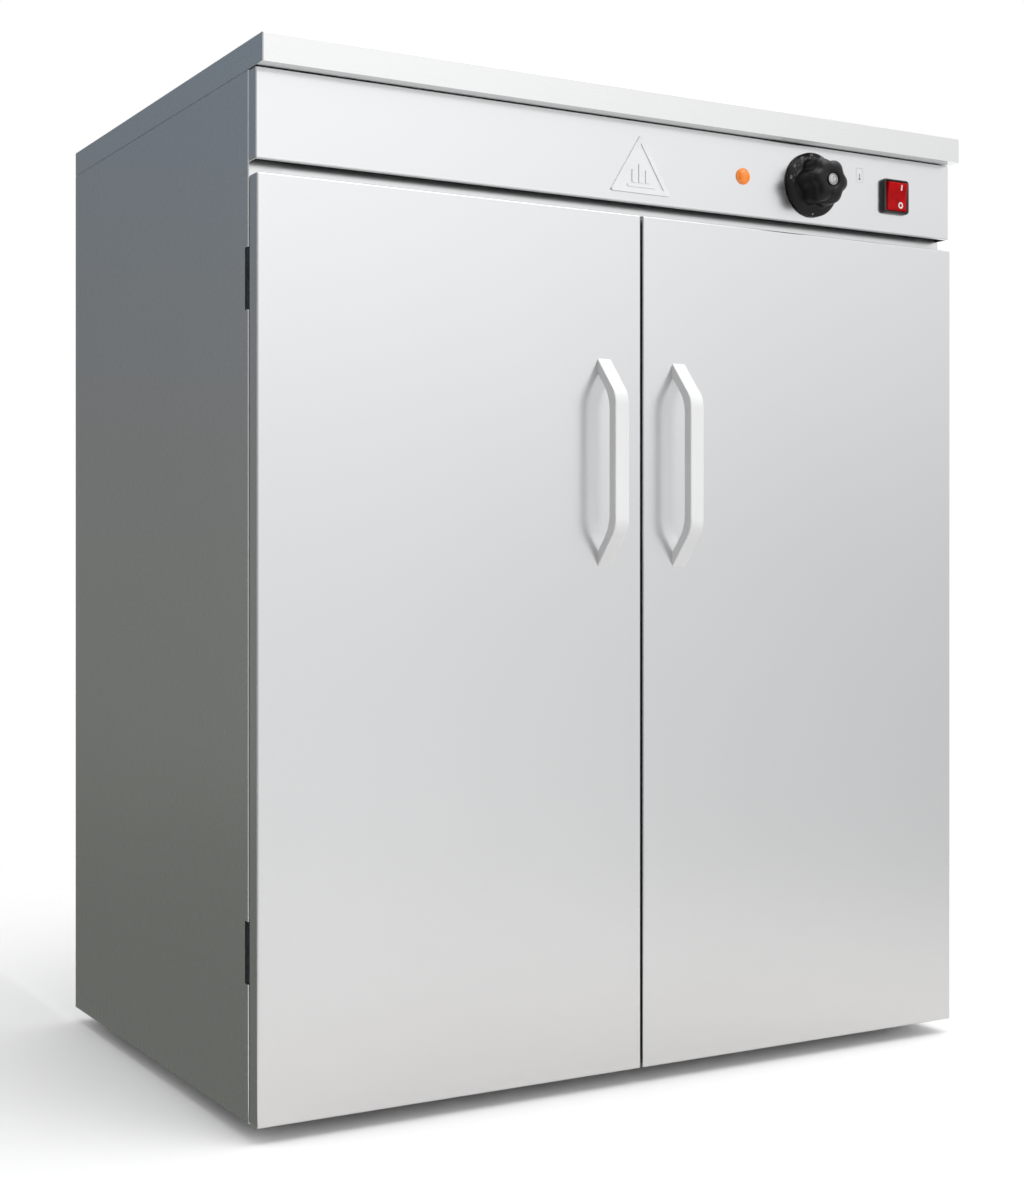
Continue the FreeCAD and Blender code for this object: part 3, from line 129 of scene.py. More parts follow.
def finish(
    name,
    colour,
    second,
    metallic=0.0,
    roughness=0.5,
    spread=0.05,
    cloud=6.0,
    grain=400.0,
    stretch=(1, 1, 1),
    bump=0.1,
    height=0.1 * MM,
    **sockets,
):
    """One procedural finish: slow colour clouds, fine grain in the roughness, and a shallow bump."""
    material, shader = shader_of(name)
    tree = material.node_tree
    clouds = remap(tree, noise(tree, cloud, 3.0), 0, 1)
    tree.links.new(blend_colours(tree, clouds, colour, second), shader.inputs["Base Color"])
    fine = noise(tree, grain, 3.0, stretch)
    rough = remap(tree, fine, roughness - spread, roughness + spread)
    tree.links.new(rough, shader.inputs["Roughness"])
    raised = tree.nodes.new("ShaderNodeBump")
    raised.inputs["Strength"].default_value = bump
    raised.inputs["Distance"].default_value = height
    tree.links.new(fine, raised.inputs["Height"])
    tree.links.new(raised.outputs["Normal"], shader.inputs["Normal"])
    shader.inputs["Metallic"].default_value = metallic
    for socket, value in sockets.items():
        shader.inputs[socket.replace("_", " ")].default_value = value
    return material


def steel(name, colour, roughness, along, spread=0.03, bump=0.05):
    """Satin sheet steel with a rolled grain that runs along x or z."""
    grain_length = 30
    long_way = {"x": (grain_length, 1, 1), "z": (1, 1, grain_length)}[along]
    second_tone = 0.97
    return finish(
        name,
        colour,
        tuple(c * second_tone for c in colour),
        metallic=1.0,
        roughness=roughness,
        spread=spread,
        cloud=2.2,
        grain=1500.0,
        stretch=long_way,
        bump=bump,
        height=0.02 * MM,
    )


FINISHES = {
    "outer_steel": steel("satin_case_steel", (0.82, 0.823, 0.825), 0.27, "x", 0.005, 0.002),
    "door_steel": steel("satin_door_steel", (0.80, 0.805, 0.815), 0.24, "x", 0.008, 0.005),
    "inner_steel": steel("liner_steel", (0.62, 0.63, 0.63), 0.34, "x", 0.05),
    "zinc_steel": finish(
        "zinc_plate", (0.55, 0.57, 0.58), (0.42, 0.44, 0.46), metallic=1.0,
        roughness=0.42, spread=0.1, cloud=45.0, grain=260.0, bump=0.08,
    ),
    "hinge_steel": finish(
        "dark_hinge_steel", (0.055, 0.065, 0.07), (0.03, 0.035, 0.04), metallic=0.9,
        roughness=0.38, spread=0.06, cloud=120.0, grain=700.0, bump=0.1,
    ),
    "screw_steel": finish(
        "screw_steel", (0.62, 0.62, 0.61), (0.5, 0.5, 0.49), metallic=1.0,
        roughness=0.3, spread=0.06, cloud=150.0, grain=900.0,
    ),
    "chrome_wire": finish(
        "chromed_wire", (0.72, 0.73, 0.74), (0.62, 0.63, 0.65), metallic=1.0,
        roughness=0.13, spread=0.04, cloud=30.0, grain=600.0, bump=0.04,
    ),
    "element_sheath": finish(
        "heated_sheath", (0.2, 0.185, 0.17), (0.12, 0.1, 0.085), metallic=0.9,
        roughness=0.48, spread=0.08, cloud=18.0, grain=500.0,
    ),
    "handle_white": finish(
        "satin_white_lacquer", (0.86, 0.865, 0.87), (0.83, 0.835, 0.84),
        roughness=0.36, spread=0.04, cloud=14.0, grain=900.0, bump=0.06,
        Coat_Weight=0.25, Coat_Roughness=0.2,
    ),
    "badge_plastic": finish(
        "silvered_badge", (0.86, 0.87, 0.88), (0.82, 0.83, 0.84), metallic=0.5,
        roughness=0.3, spread=0.005, cloud=30.0, grain=900.0, bump=0.001,
    ),
    "knob_black": finish(
        "glossy_black_plastic", (0.0025, 0.0025, 0.003), (0.004, 0.004, 0.0045),
        roughness=0.3, spread=0.01, cloud=60.0, grain=1200.0, bump=0.01,
        Specular_IOR_Level=0.3,
    ),
    "knob_cap_metal": finish(
        "spun_cap_metal", (0.66, 0.66, 0.66), (0.5, 0.5, 0.5), metallic=1.0,
        roughness=0.28, spread=0.08, cloud=300.0, grain=2500.0,
    ),
    "switch_black": finish(
        "satin_black_plastic", (0.011, 0.011, 0.012), (0.018, 0.018, 0.019),
        roughness=0.33, spread=0.05, cloud=80.0, grain=1600.0, bump=0.12,
    ),
    "rocker_red": finish(
        "clear_red_plastic", (0.5, 0.0, 0.002), (0.27, 0.0, 0.001),
        roughness=0.12, spread=0.02, cloud=95.0, grain=500.0, bump=0.03,
        Specular_IOR_Level=0.12, Subsurface_Weight=0.1,
        Subsurface_Radius=(0.004, 0.0005, 0.0005),
        Emission_Color=(0.8, 0.0, 0.005, 1), Emission_Strength=0.05,
    ),
    "lamp_amber": finish(
        "clear_amber_plastic", (0.95, 0.27, 0.008), (0.75, 0.14, 0.004),
        roughness=0.12, spread=0.03, cloud=210.0, grain=700.0, bump=0.05,
        Coat_Weight=0.7, Coat_Roughness=0.06,
        Emission_Color=(1.0, 0.3, 0.01, 1), Emission_Strength=0.25,
    ),
    "control_plastic": finish(
        "moulded_grey_plastic", (0.06, 0.06, 0.062), (0.04, 0.04, 0.042),
        roughness=0.5, cloud=60.0, grain=1100.0, bump=0.2,
    ),
    "capillary_copper": finish(
        "drawn_copper", (0.72, 0.36, 0.22), (0.55, 0.24, 0.14), metallic=1.0,
        roughness=0.3, spread=0.08, cloud=40.0, grain=800.0,
    ),
    "wire_sleeve": finish(
        "woven_sleeve", (0.5, 0.48, 0.43), (0.4, 0.38, 0.33),
        roughness=0.8, cloud=90.0, grain=2200.0, bump=0.4,
    ),
    "terminal_ceramic": finish(
        "glazed_ceramic", (0.8, 0.78, 0.72), (0.7, 0.67, 0.6),
        roughness=0.3, cloud=50.0, grain=500.0, bump=0.1, Coat_Weight=0.3,
    ),
    "gland_plastic": finish(
        "nylon_gland", (0.025, 0.025, 0.027), (0.04, 0.04, 0.042),
        roughness=0.42, cloud=90.0, grain=1200.0, bump=0.2,
    ),
    "foot_rubber": finish(
        "black_rubber", (0.016, 0.016, 0.016), (0.03, 0.03, 0.029),
        roughness=0.72, spread=0.08, cloud=70.0, grain=1500.0, bump=0.35,
    ),
    "mineral_wool": finish(
        "mineral_wool", (0.55, 0.47, 0.27), (0.42, 0.36, 0.2),
        roughness=0.95, spread=0.04, cloud=35.0, grain=600.0, stretch=(4, 1, 1),
        bump=0.9, height=1.0 * MM, Sheen_Weight=0.3,
    ),
    "magnet_plastic": finish(
        "catch_plastic", (0.55, 0.55, 0.54), (0.48, 0.48, 0.47),
        roughness=0.45, cloud=60.0, grain=900.0, bump=0.15,
    ),
    "side_steel": steel("satin_side_steel", (0.80, 0.805, 0.81), 0.27, "z", 0.004, 0.0015),
    "white_print": finish(
        "white_print", (0.82, 0.82, 0.8), (0.7, 0.7, 0.68),
        roughness=0.5, cloud=400.0, grain=3000.0,
    ),
    # painted light: the white lacquer made to glow, standing in for the light the door throws back onto
    # the handle's back
    "handle_back_painted_glow": finish(
        "painted_glow_lacquer", (0.86, 0.865, 0.87), (0.83, 0.835, 0.84),
        roughness=0.36, spread=0.04, cloud=14.0, grain=900.0, bump=0.06,
        Emission_Color=(1, 1, 1, 1), Emission_Strength=0.3,
    ),
    "dim_print": finish(
        "dim_print", (0.42, 0.42, 0.41), (0.3, 0.3, 0.29),
        roughness=0.5, cloud=400.0, grain=3000.0,
    ),
    "pale_print": finish(
        "pale_print", (0.5, 0.5, 0.51), (0.44, 0.44, 0.45),
        roughness=0.5, cloud=500.0, grain=3000.0,
    ),
    "grey_print": finish(
        "grey_print", (0.16, 0.165, 0.17), (0.22, 0.225, 0.23),
        roughness=0.5, cloud=500.0, grain=3000.0,
    ),
}

SLOT_OF = {part["node"]: part["material_slot"] for part in frame["record"]["subparts"]}


# ---------------------------------------------------------------- mesh helpers

WELD = 0.001 * MM  # points closer than this are one point


def smooth(mesh, angle):
    """Smooth shading, with edges sharper than the angle (in degrees) left crisp."""
    for face in mesh.polygons:
        face.use_smooth = True
    mesh.set_sharp_from_angle(angle=math.radians(angle))


def piece(name, shape, finish_name, body, stands_for=(), angle=35, flat=True):
    """Turns a shape in the shared frame into a piece on a body. Flat faces keep an even shading."""
    bmesh.ops.recalc_face_normals(shape, faces=shape.faces)
    mesh = bpy.data.meshes.new(name)
    shape.to_mesh(mesh)
    shape.free()
    smooth(mesh, angle)
    mesh.materials.append(FINISHES[finish_name])
    made = bpy.data.objects.new(name, mesh)
    bpy.context.scene.collection.objects.link(made)
    if flat:
        even = made.modifiers.new("even_shading", "WEIGHTED_NORMAL")
        even.keep_sharp = True
        even.weight = 100  # large faces decide
    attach(made, body)
    if stands_for:
        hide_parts(*stands_for)
    return made


def loft(shape, rings, cap_start=True, cap_end=True):
    """Joins rings of points, each a closed loop of the same length."""
    loops = [[shape.verts.new(point) for point in ring] for ring in rings]
    count = len(loops[0])
    for first, second in zip(loops, loops[1:]):
        for i in range(count):
            j = (i + 1) % count
            shape.faces.new((first[i], first[j], second[j], second[i]))
    if cap_start:
        shape.faces.new(loops[0][::-1])
    if cap_end:
        shape.faces.new(loops[-1])
    return loops


def rounded_outline(half_width, half_height, radius, steps=6):
    """Points of a rectangle with round corners, as (across, up)."""
    points = []
    for quarter in range(4):
        sign_x = 1 if quarter in (0, 3) else -1
        sign_z = 1 if quarter in (0, 1) else -1
        centre_x = sign_x * (half_width - radius)
        centre_z = sign_z * (half_height - radius)
        for step in range(steps + 1):
            turn = math.radians(90 * (quarter + step / steps))
            points.append((centre_x + radius * math.cos(turn), centre_z + radius * math.sin(turn)))
    return points


def softened(node, name, finish_name, bends, radius, steps=4):
    """A copy of a CAD node with its bent edges rounded (radius in mm); it stands for the node."""
    coplanar = math.radians(0.5)
    shape = bmesh.new()
    shape.from_mesh(nodes[node].data)
    bmesh.ops.remove_doubles(shape, verts=shape.verts, dist=WELD)
    bmesh.ops.dissolve_limit(shape, angle_limit=coplanar, verts=shape.verts, edges=shape.edges)
    chosen = [e for e in shape.edges if len(e.link_faces) == 2 and bends(*[v.co for v in e.verts])]
    bmesh.ops.bevel(
        shape, geom=chosen, offset=radius * MM, segments=steps, profile=0.5,
        affect="EDGES", clamp_overlap=True,
    )
    return piece(name, shape, finish_name, body_of(nodes[node])[0], [node])


def on_box(node, sides):
    """A test for edges that lie where two of the node's box sides meet, such as "x-" and "z+"."""
    slack = 0.02 * MM
    low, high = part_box(node)
    planes = []
    for side in sides:
        axis = "xyz".index(side[0])
        planes.append((axis, low[axis] if side[1] == "-" else high[axis]))

    def test(start, end):
        held = [
            p for p in planes
            if abs(start[p[0]] - p[1]) < slack and abs(end[p[0]] - p[1]) < slack
        ]
        return len(held) >= 2

    return test


# ---------------------------------------------------------------- CAD nodes

for name, node in nodes.items():
    node.data.materials.clear()
    node.data.materials.append(FINISHES[SLOT_OF[name]])
    smooth(node.data, angle=30)
for name in ("left_side_panel", "right_side_panel", "left_stile", "right_stile"):
    nodes[name].data.materials[0] = FINISHES["side_steel"]
for name in ("top_rail", "bottom_rail"):
    nodes[name].data.materials[0] = FINISHES["door_steel"]


# ---------------------------------------------------------------- folded sheet metal

softened("worktop", "worktop_shell", "outer_steel",
         on_box("worktop", ["x-", "x+", "y-", "y+", "z-", "z+"]), 0.9)
for side, outer in (("left", "x-"), ("right", "x+")):
    softened(f"{side}_side_panel", f"{side}_side_sheet", "side_steel",
             on_box(f"{side}_side_panel", [outer, "y-", "y+", "z+"]), 1.0)
    softened(f"{side}_door_skin", f"{side}_door_sheet", "door_steel",
             on_box(f"{side}_door_skin", ["x-", "x+", "y-", "z-", "z+"]), 1.5, 5)
fascia_sheet = softened("control_fascia", "control_fascia_sheet", "door_steel",
                        on_box("control_fascia", ["x-", "x+", "y-", "z-", "z+"]), 1.2, 5)
fascia_low, fascia_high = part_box("control_fascia")
FASCIA_PAINTED_SHADE_DEPTH = 0.9 * MM  # faces deeper than this are inside the folded fascia; they get the black plastic finish as painted shade for the shadowed hollow seen under the fascia
# painted shade: black plastic put on the fascia's inner faces, where there is only shade
fascia_sheet.data.materials.append(FINISHES["switch_black"])
for face in fascia_sheet.data.polygons:
    middle = face.center
    deep = min(
        middle.x - fascia_low.x, fascia_high.x - middle.x,
        middle.z - fascia_low.z, fascia_high.z - middle.z, middle.y - fascia_low.y,
    )
    if deep > FASCIA_PAINTED_SHADE_DEPTH:
        face.material_index = 1


# ---------------------------------------------------------------- door handles


def arc_corner(before, corner, after, radius, steps):
    """Points that round a corner of a side view."""
    back = (before - corner).normalized()
    ahead = (after - corner).normalized()
    half = back.angle(ahead) / 2
    reach = radius / math.tan(half)
    middle = corner + (back + ahead).normalized() * (radius / math.sin(half))
    first = corner + back * reach - middle
    turn = math.pi - 2 * half
    sign = 1 if first.x * (corner - middle).y - first.y * (corner - middle).x > 0 else -1
    points = []
    for step in range(steps + 1):
        spin = Matrix.Rotation(sign * turn * step / steps, 2)
        points.append(middle + spin @ first)
    return points


def make_handle(side):
    """A cast bow handle: flat faced bar, legs that slope to the door, rounded edges all along."""
    low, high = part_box(f"{side}_handle")
    door = high.y
    reach = high.y - low.y
    half = (high.x - low.x) / 2
    centre = (high.x + low.x) / 2
    length = high.z - low.z
    slope = 33.8 * MM
    thick = 10.5 * MM
    foot_share = 0.86  # a leg's thickness as a share of the bar's
    foot = foot_share * thick * math.hypot(reach, slope) / reach
    rise = (reach - thick) * slope / reach
    outer_bend, inner_bend, bend_steps = 22 * MM, 34 * MM, 10
    edge_radius, edge_steps = 1.2 * MM, 4
    leg_point = 0.35  # where along a leg the extra ring sits
    foot_depth = 2 * MM
    # side views as (out from the door, up from the handle's foot)
    outer = [
        Vector((0, 0)),
        Vector((reach, slope)),
        Vector((reach, length - slope)),
        Vector((0, length)),
    ]
    inner = [
        Vector((0, foot)),
        Vector((reach - thick, foot + rise)),
        Vector((reach - thick, length - foot - rise)),
        Vector((0, length - foot)),
    ]

    def side_view(corners, radius):
        points = [corners[0], corners[0].lerp(corners[1], leg_point)]
        points += arc_corner(*corners[:3], radius, bend_steps)
        points += arc_corner(*corners[1:], radius, bend_steps)
        points += [corners[3].lerp(corners[2], leg_point), corners[3]]
        return points

    rings = []
    for out, back in zip(side_view(outer, outer_bend), side_view(inner, inner_bend)):
        middle = (out + back) / 2
        across = (out - back) / 2
        section = rounded_outline(half, across.length, edge_radius, edge_steps)
        along = across.normalized()
        rings.append([
            (centre + u, door - (middle.x + along.x * v), low.z + middle.y + along.y * v)
            for u, v in section
        ])
    shape = bmesh.new()
    loft(shape, rings)
    made = piece(f"{side}_bow_handle", shape, "handle_white", f"{side}_door",
                 stands_for=[f"{side}_handle"], angle=50)
    # painted light: the bar's back faces that look at the door glow a little, standing in for the light
    # the door throws back onto them
    made.data.materials.append(FINISHES["handle_back_painted_glow"])
    for face in made.data.polygons:
        if face.normal.y > 0.5 and face.center.y < door - foot_depth:
            face.material_index = 1


for side in ("left", "right"):
    make_handle(side)


# ---------------------------------------------------------------- thermostat knob

knob_low, knob_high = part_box("thermostat_knob")
knob_x = (knob_low.x + knob_high.x) / 2
knob_z = (knob_low.z + knob_high.z) / 2
POINTER = math.radians(-93)  # the pointer groove's direction on the dial
LOBES = 6


def knob_point(radius, angle, y):
    """A point on the knob, at a radius and an angle from its axis."""
    return (knob_x + radius * math.cos(angle), y, knob_z + radius * math.sin(angle))


def make_knob():
    """A dial skirt and a domed grip with six soft lobes, a pointer groove and a seat for the cap."""
    back = knob_high.y
    skirt = (knob_high.x - knob_low.x) / 2 / MM
    # every ring: radius and distance in front of the knob's back in millimetres, and share of the lobes
    profile = [
        (skirt - 1.2, 0, 0), (skirt - 0.3, 0.3, 0), (skirt, 1.0, 0),
        (skirt, 1.9, 0), (skirt - 0.5, 2.5, 0), (skirt - 1.2, 2.9, 0),
        (25.6, 4.7, 0), (24.6, 5.0, 0.3), (24.0, 5.8, 0.75), (23.6, 7.2, 1.0),
    ]
    grip_radius, grip_foot, grip_taper, grip_step, grip_rings = 23.5, 8, 0.1, 1.45, 11
    for step in range(grip_rings):
        profile.append((grip_radius - grip_taper * step, grip_foot + grip_step * step, 1.0))
    dome_core, dome_reach, dome_foot, dome_height, dome_rings = 11.6, 10.8, 23, 9.5, 12
    lobe_fade = 0.8
    for step in range(1, dome_rings + 1):
        turn = math.radians(90 * step / dome_rings)
        profile.append((
            dome_core + dome_reach * math.cos(turn),
            dome_foot + dome_height * math.sin(turn),
            math.cos(turn) ** lobe_fade,
        ))
    cap_seat = [
        (9.4, 32.45, 0), (8.6, 32.3, 0), (8.1, 31.9, 0), (7.9, 31.2, 0), (7.5, 30.9, 0), (6.3, 30.9, 0),
    ]
    profile += cap_seat
    lobe_depth, lobe_sharpness = 3.2, 1.2
    # the pointer groove runs up the grip, then over the face in front of face_start
    groove_depth, groove_half_width, groove_start, groove_end_radius, face_start = 0.55, 0.75, 5.9, 8, 29
    count = 420
    shape = bmesh.new()
    rings = []
    for radius, out, lobed in profile:
        ring = []
        for i in range(count):
            angle = math.tau * i / count
            wave = 0.5 + 0.5 * math.cos(LOBES * (angle - POINTER))
            bite = lobe_depth * lobed * wave ** lobe_sharpness
            off = abs(math.remainder(angle - POINTER, math.tau)) * radius
            groove = 0
            if out >= groove_start and radius > groove_end_radius:
                groove = groove_depth * max(0, 1 - (off / groove_half_width) ** 2)
            grooved = radius - bite - (groove if out < face_start else 0)
            y = back - out * MM + (groove * MM if out >= face_start else 0)
            ring.append(knob_point(grooved * MM, angle, y))
        rings.append(ring)
    loft(shape, rings)
    piece("dial_knob", shape, "knob_black", "knob",
          stands_for=["thermostat_knob"], angle=60, flat=False)


def lathe(name, finish_name, body, centre, profile, stands_for):
    """A turned piece about a front to back axis. The profile is (radius, y) in metres."""
    turns = [math.tau * i / 72 for i in range(72)]
    rings = [
        [(centre[0] + r * math.cos(turn), y, centre[1] + r * math.sin(turn)) for turn in turns]
        for r, y in profile
    ]
    shape = bmesh.new()
    loft(shape, rings)
    piece(name, shape, finish_name, body, stands_for=stands_for, angle=40, flat=False)


def make_knob_cap():
    """A spun cap with a fine groove and a slightly crowned middle, and a ring and bar printed on it."""
    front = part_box("knob_cap")[0].y
    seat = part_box("knob_cap")[1].y
    # every ring: radius in millimetres, and y
    profile = [
        (5.1, seat), (5.4, seat - 0.2 * MM), (5.4, front + 0.5 * MM), (5.2, front + 0.1 * MM),
        (4.8, front), (4.5, front + 0.05 * MM), (4.35, front + 0.3 * MM), (4.0, front + 0.3 * MM),
        (3.8, front + 0.12 * MM), (2.6, front + 0.05 * MM), (0.3, front),
    ]
    lathe("cap_disc", "knob_cap_metal", "knob", (knob_x, knob_z),
          [(r * MM, y) for r, y in profile], ["knob_cap"])
    mark = bmesh.new()
    y = front - 0.02 * MM
    # inner and outer radius in millimetres, start and end as shares of a turn, number of steps
    ring = (3.9, 4.5, 0, 1, 36)
    bar_above = (0.4, 2.7, 0.21, 0.29, 6)
    bar_below = (0.4, 2.7, 0.71, 0.79, 6)
    for inner, outer, low, high, steps in (ring, bar_above, bar_below):
        near_ring, far_ring = [], []
        for i in range(steps + 1):
            angle = math.tau * (low + (high - low) * i / steps)
            near_ring.append(mark.verts.new(knob_point(inner * MM, angle, y)))
            far_ring.append(mark.verts.new(knob_point(outer * MM, angle, y)))
        for i in range(steps):
            mark.faces.new((near_ring[i], far_ring[i], far_ring[i + 1], near_ring[i + 1]))
    bmesh.ops.remove_doubles(mark, verts=mark.verts, dist=WELD)
    piece("cap_mark", mark, "grey_print", "knob")


def make_text(name, words, size, finish_name, body, place, turn):
    """Flat printed characters that face the front, turned about their middle."""
    curve = bpy.data.curves.new(name, "FONT")
    curve.body = words
    curve.size = size
    curve.align_x = "CENTER"
    curve.align_y = "CENTER"
    curve.extrude = 0.03 * MM  # the print's thickness
    curve.resolution_u = 3
    typed = bpy.data.objects.new(name, curve)
    bpy.context.scene.collection.objects.link(typed)
    upright = Matrix.Rotation(math.radians(90), 4, "X")
    typed.matrix_world = Matrix.Translation(place) @ Matrix.Rotation(turn, 4, "Y") @ upright
    bpy.context.view_layer.update()
    mesh = bpy.data.meshes.new_from_object(typed)
    mesh.transform(typed.matrix_world)
    bpy.data.objects.remove(typed)
    mesh.materials.clear()
    mesh.materials.append(FINISHES[finish_name])
    made = bpy.data.objects.new(name, mesh)
    bpy.context.scene.collection.objects.link(made)
    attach(made, body)


def make_dial_marks():
    """Temperatures and dots printed on the skirt, and a bar at the off place."""
    back = knob_high.y
    numbers = ("30", "40", "50", "60", "70", "80", "90")
    number_start, number_step = 172, 25  # in degrees
    number_ring, number_out, number_size = 27.9 * MM, 4.05 * MM, 3.9 * MM
    dot_start, dot_step, dot_count = 178, 12.5, 13
    dot_ring, dot_out, dot_radius = 25.4 * MM, 4.83 * MM, 0.42 * MM
    dots = bmesh.new()
    for i in range(dot_count):
        angle = math.radians(dot_start - i * dot_step)
        middle = Vector(knob_point(dot_ring, angle, back - dot_out))
        bmesh.ops.create_circle(
            dots, cap_ends=True, radius=dot_radius, segments=12,
            matrix=Matrix.Translation(middle) @ Matrix.Rotation(math.radians(90), 4, "X"),
        )
    # the off bar lies on the skirt's slope: its two ends as radius and distance from the back
    half_turn = 0.02  # half the bar's width, in radians
    (low, low_out), (high, high_out) = (28.0 * MM, 3.95 * MM), (29.4 * MM, 3.1 * MM)
    bar = [
        knob_point(low, POINTER - half_turn, back - low_out),
        knob_point(low, POINTER + half_turn, back - low_out),
        knob_point(high, POINTER + half_turn, back - high_out),
        knob_point(high, POINTER - half_turn, back - high_out),
    ]
    dots.faces.new([dots.verts.new(p) for p in bar])
    piece("dial_dots", dots, "dim_print", "knob")
    for i, words in enumerate(numbers):
        angle = math.radians(number_start - i * number_step)
        place = knob_point(number_ring, angle, back - number_out)
        make_text(f"dial_number_{words}", words, number_size, "dim_print", "knob", place,
                  math.radians(90) - angle)


make_knob()
make_knob_cap()
make_dial_marks()


# ---------------------------------------------------------------- pilot lamp and rocker switch


def make_lamp():
    """A domed amber lens with a thin flange."""
    low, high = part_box("lamp_lens")
    radius = (high.x - low.x) / 2
    depth = high.y - low.y
    centre = ((low.x + high.x) / 2, (low.z + high.z) / 2)
    profile = [
        (radius * 0.97, high.y), (radius, high.y - 0.25 * MM), (radius, high.y - 0.8 * MM),
        (radius * 0.97, high.y - 1.1 * MM), (radius * 0.9, high.y - 1.2 * MM),
        (radius * 0.87, high.y - 1.25 * MM),
    ]
    dome_radius, dome_foot, fullness = radius * 0.86, 1.25 * MM, 0.9
    for step in range(1, 11):
        turn = math.radians(90 * step / 10.4)
        profile.append((
            dome_radius * math.cos(turn) ** fullness,
            high.y - dome_foot - (depth - dome_foot) * math.sin(turn),
        ))
    lathe("lamp_dome", "lamp_amber", "cabinet", centre, profile, ["lamp_lens"])


def slab_rings(centre, half_width, half_height, radius, layers):
    """Rings of a rounded rectangle facing the front; layers are (inset across, inset up, y)."""
    rings = []
    least_corner = 0.3 * MM
    for across, up, y in layers:
        corner = max(radius - across, least_corner)
        outline = rounded_outline(half_width - across, half_height - up, corner)
        rings.append([(centre[0] + u, y, centre[1] + v) for u, v in outline])
    return rings


def make_bezel():
    """The switch bezel with a rounded rim and a deep well, and the barrel behind the fascia.

    Gives the switch's middle, and the fascia's front face.
    """
    low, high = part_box("switch_housing")
    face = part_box("control_fascia")[0].y
    half_width = (high.x - low.x) / 2
    half_height = (high.z - low.z) / 2
    centre = ((low.x + high.x) / 2, (low.z + high.z) / 2)
    rim = low.y
    well_half_width, well_half_height, well_floor = 12.85, 14.75, face + 4.9 * MM
    well_x = half_width / MM - well_half_width
    well_z = half_height / MM - well_half_height
    # every ring: inset across and inset up in millimetres, and y
    layers = [
        (0, 0, face), (0, 0, rim + 1.8 * MM), (0.12, 0.12, rim + 1.0 * MM),
        (0.4, 0.4, rim + 0.45 * MM), (0.9, 0.85, rim + 0.1 * MM), (1.4, 1.2, rim),
        (well_x - 0.5, well_z - 0.3, rim + 0.1 * MM), (well_x - 0.1, well_z - 0.08, rim + 0.5 * MM),
        (well_x, well_z, rim + 1.2 * MM), (well_x, well_z, well_floor),
    ]
    layers = [(across * MM, up * MM, y) for across, up, y in layers]
    bezel_corner, barrel_corner = 3.6 * MM, 3 * MM
    shape = bmesh.new()
    loft(shape, slab_rings(centre, half_width, half_height, bezel_corner, layers), cap_start=False)
    barrel = [
        (2.0 * MM, 0.8 * MM, face),
        (2.0 * MM, 0.8 * MM, high.y - 1 * MM),
        (3.0 * MM, 1.8 * MM, high.y),
    ]
    loft(shape, slab_rings(centre, half_width, half_height, barrel_corner, barrel), cap_start=False)
    piece("switch_bezel", shape, "switch_black", "cabinet", stands_for=["switch_housing"])
    return centre, face


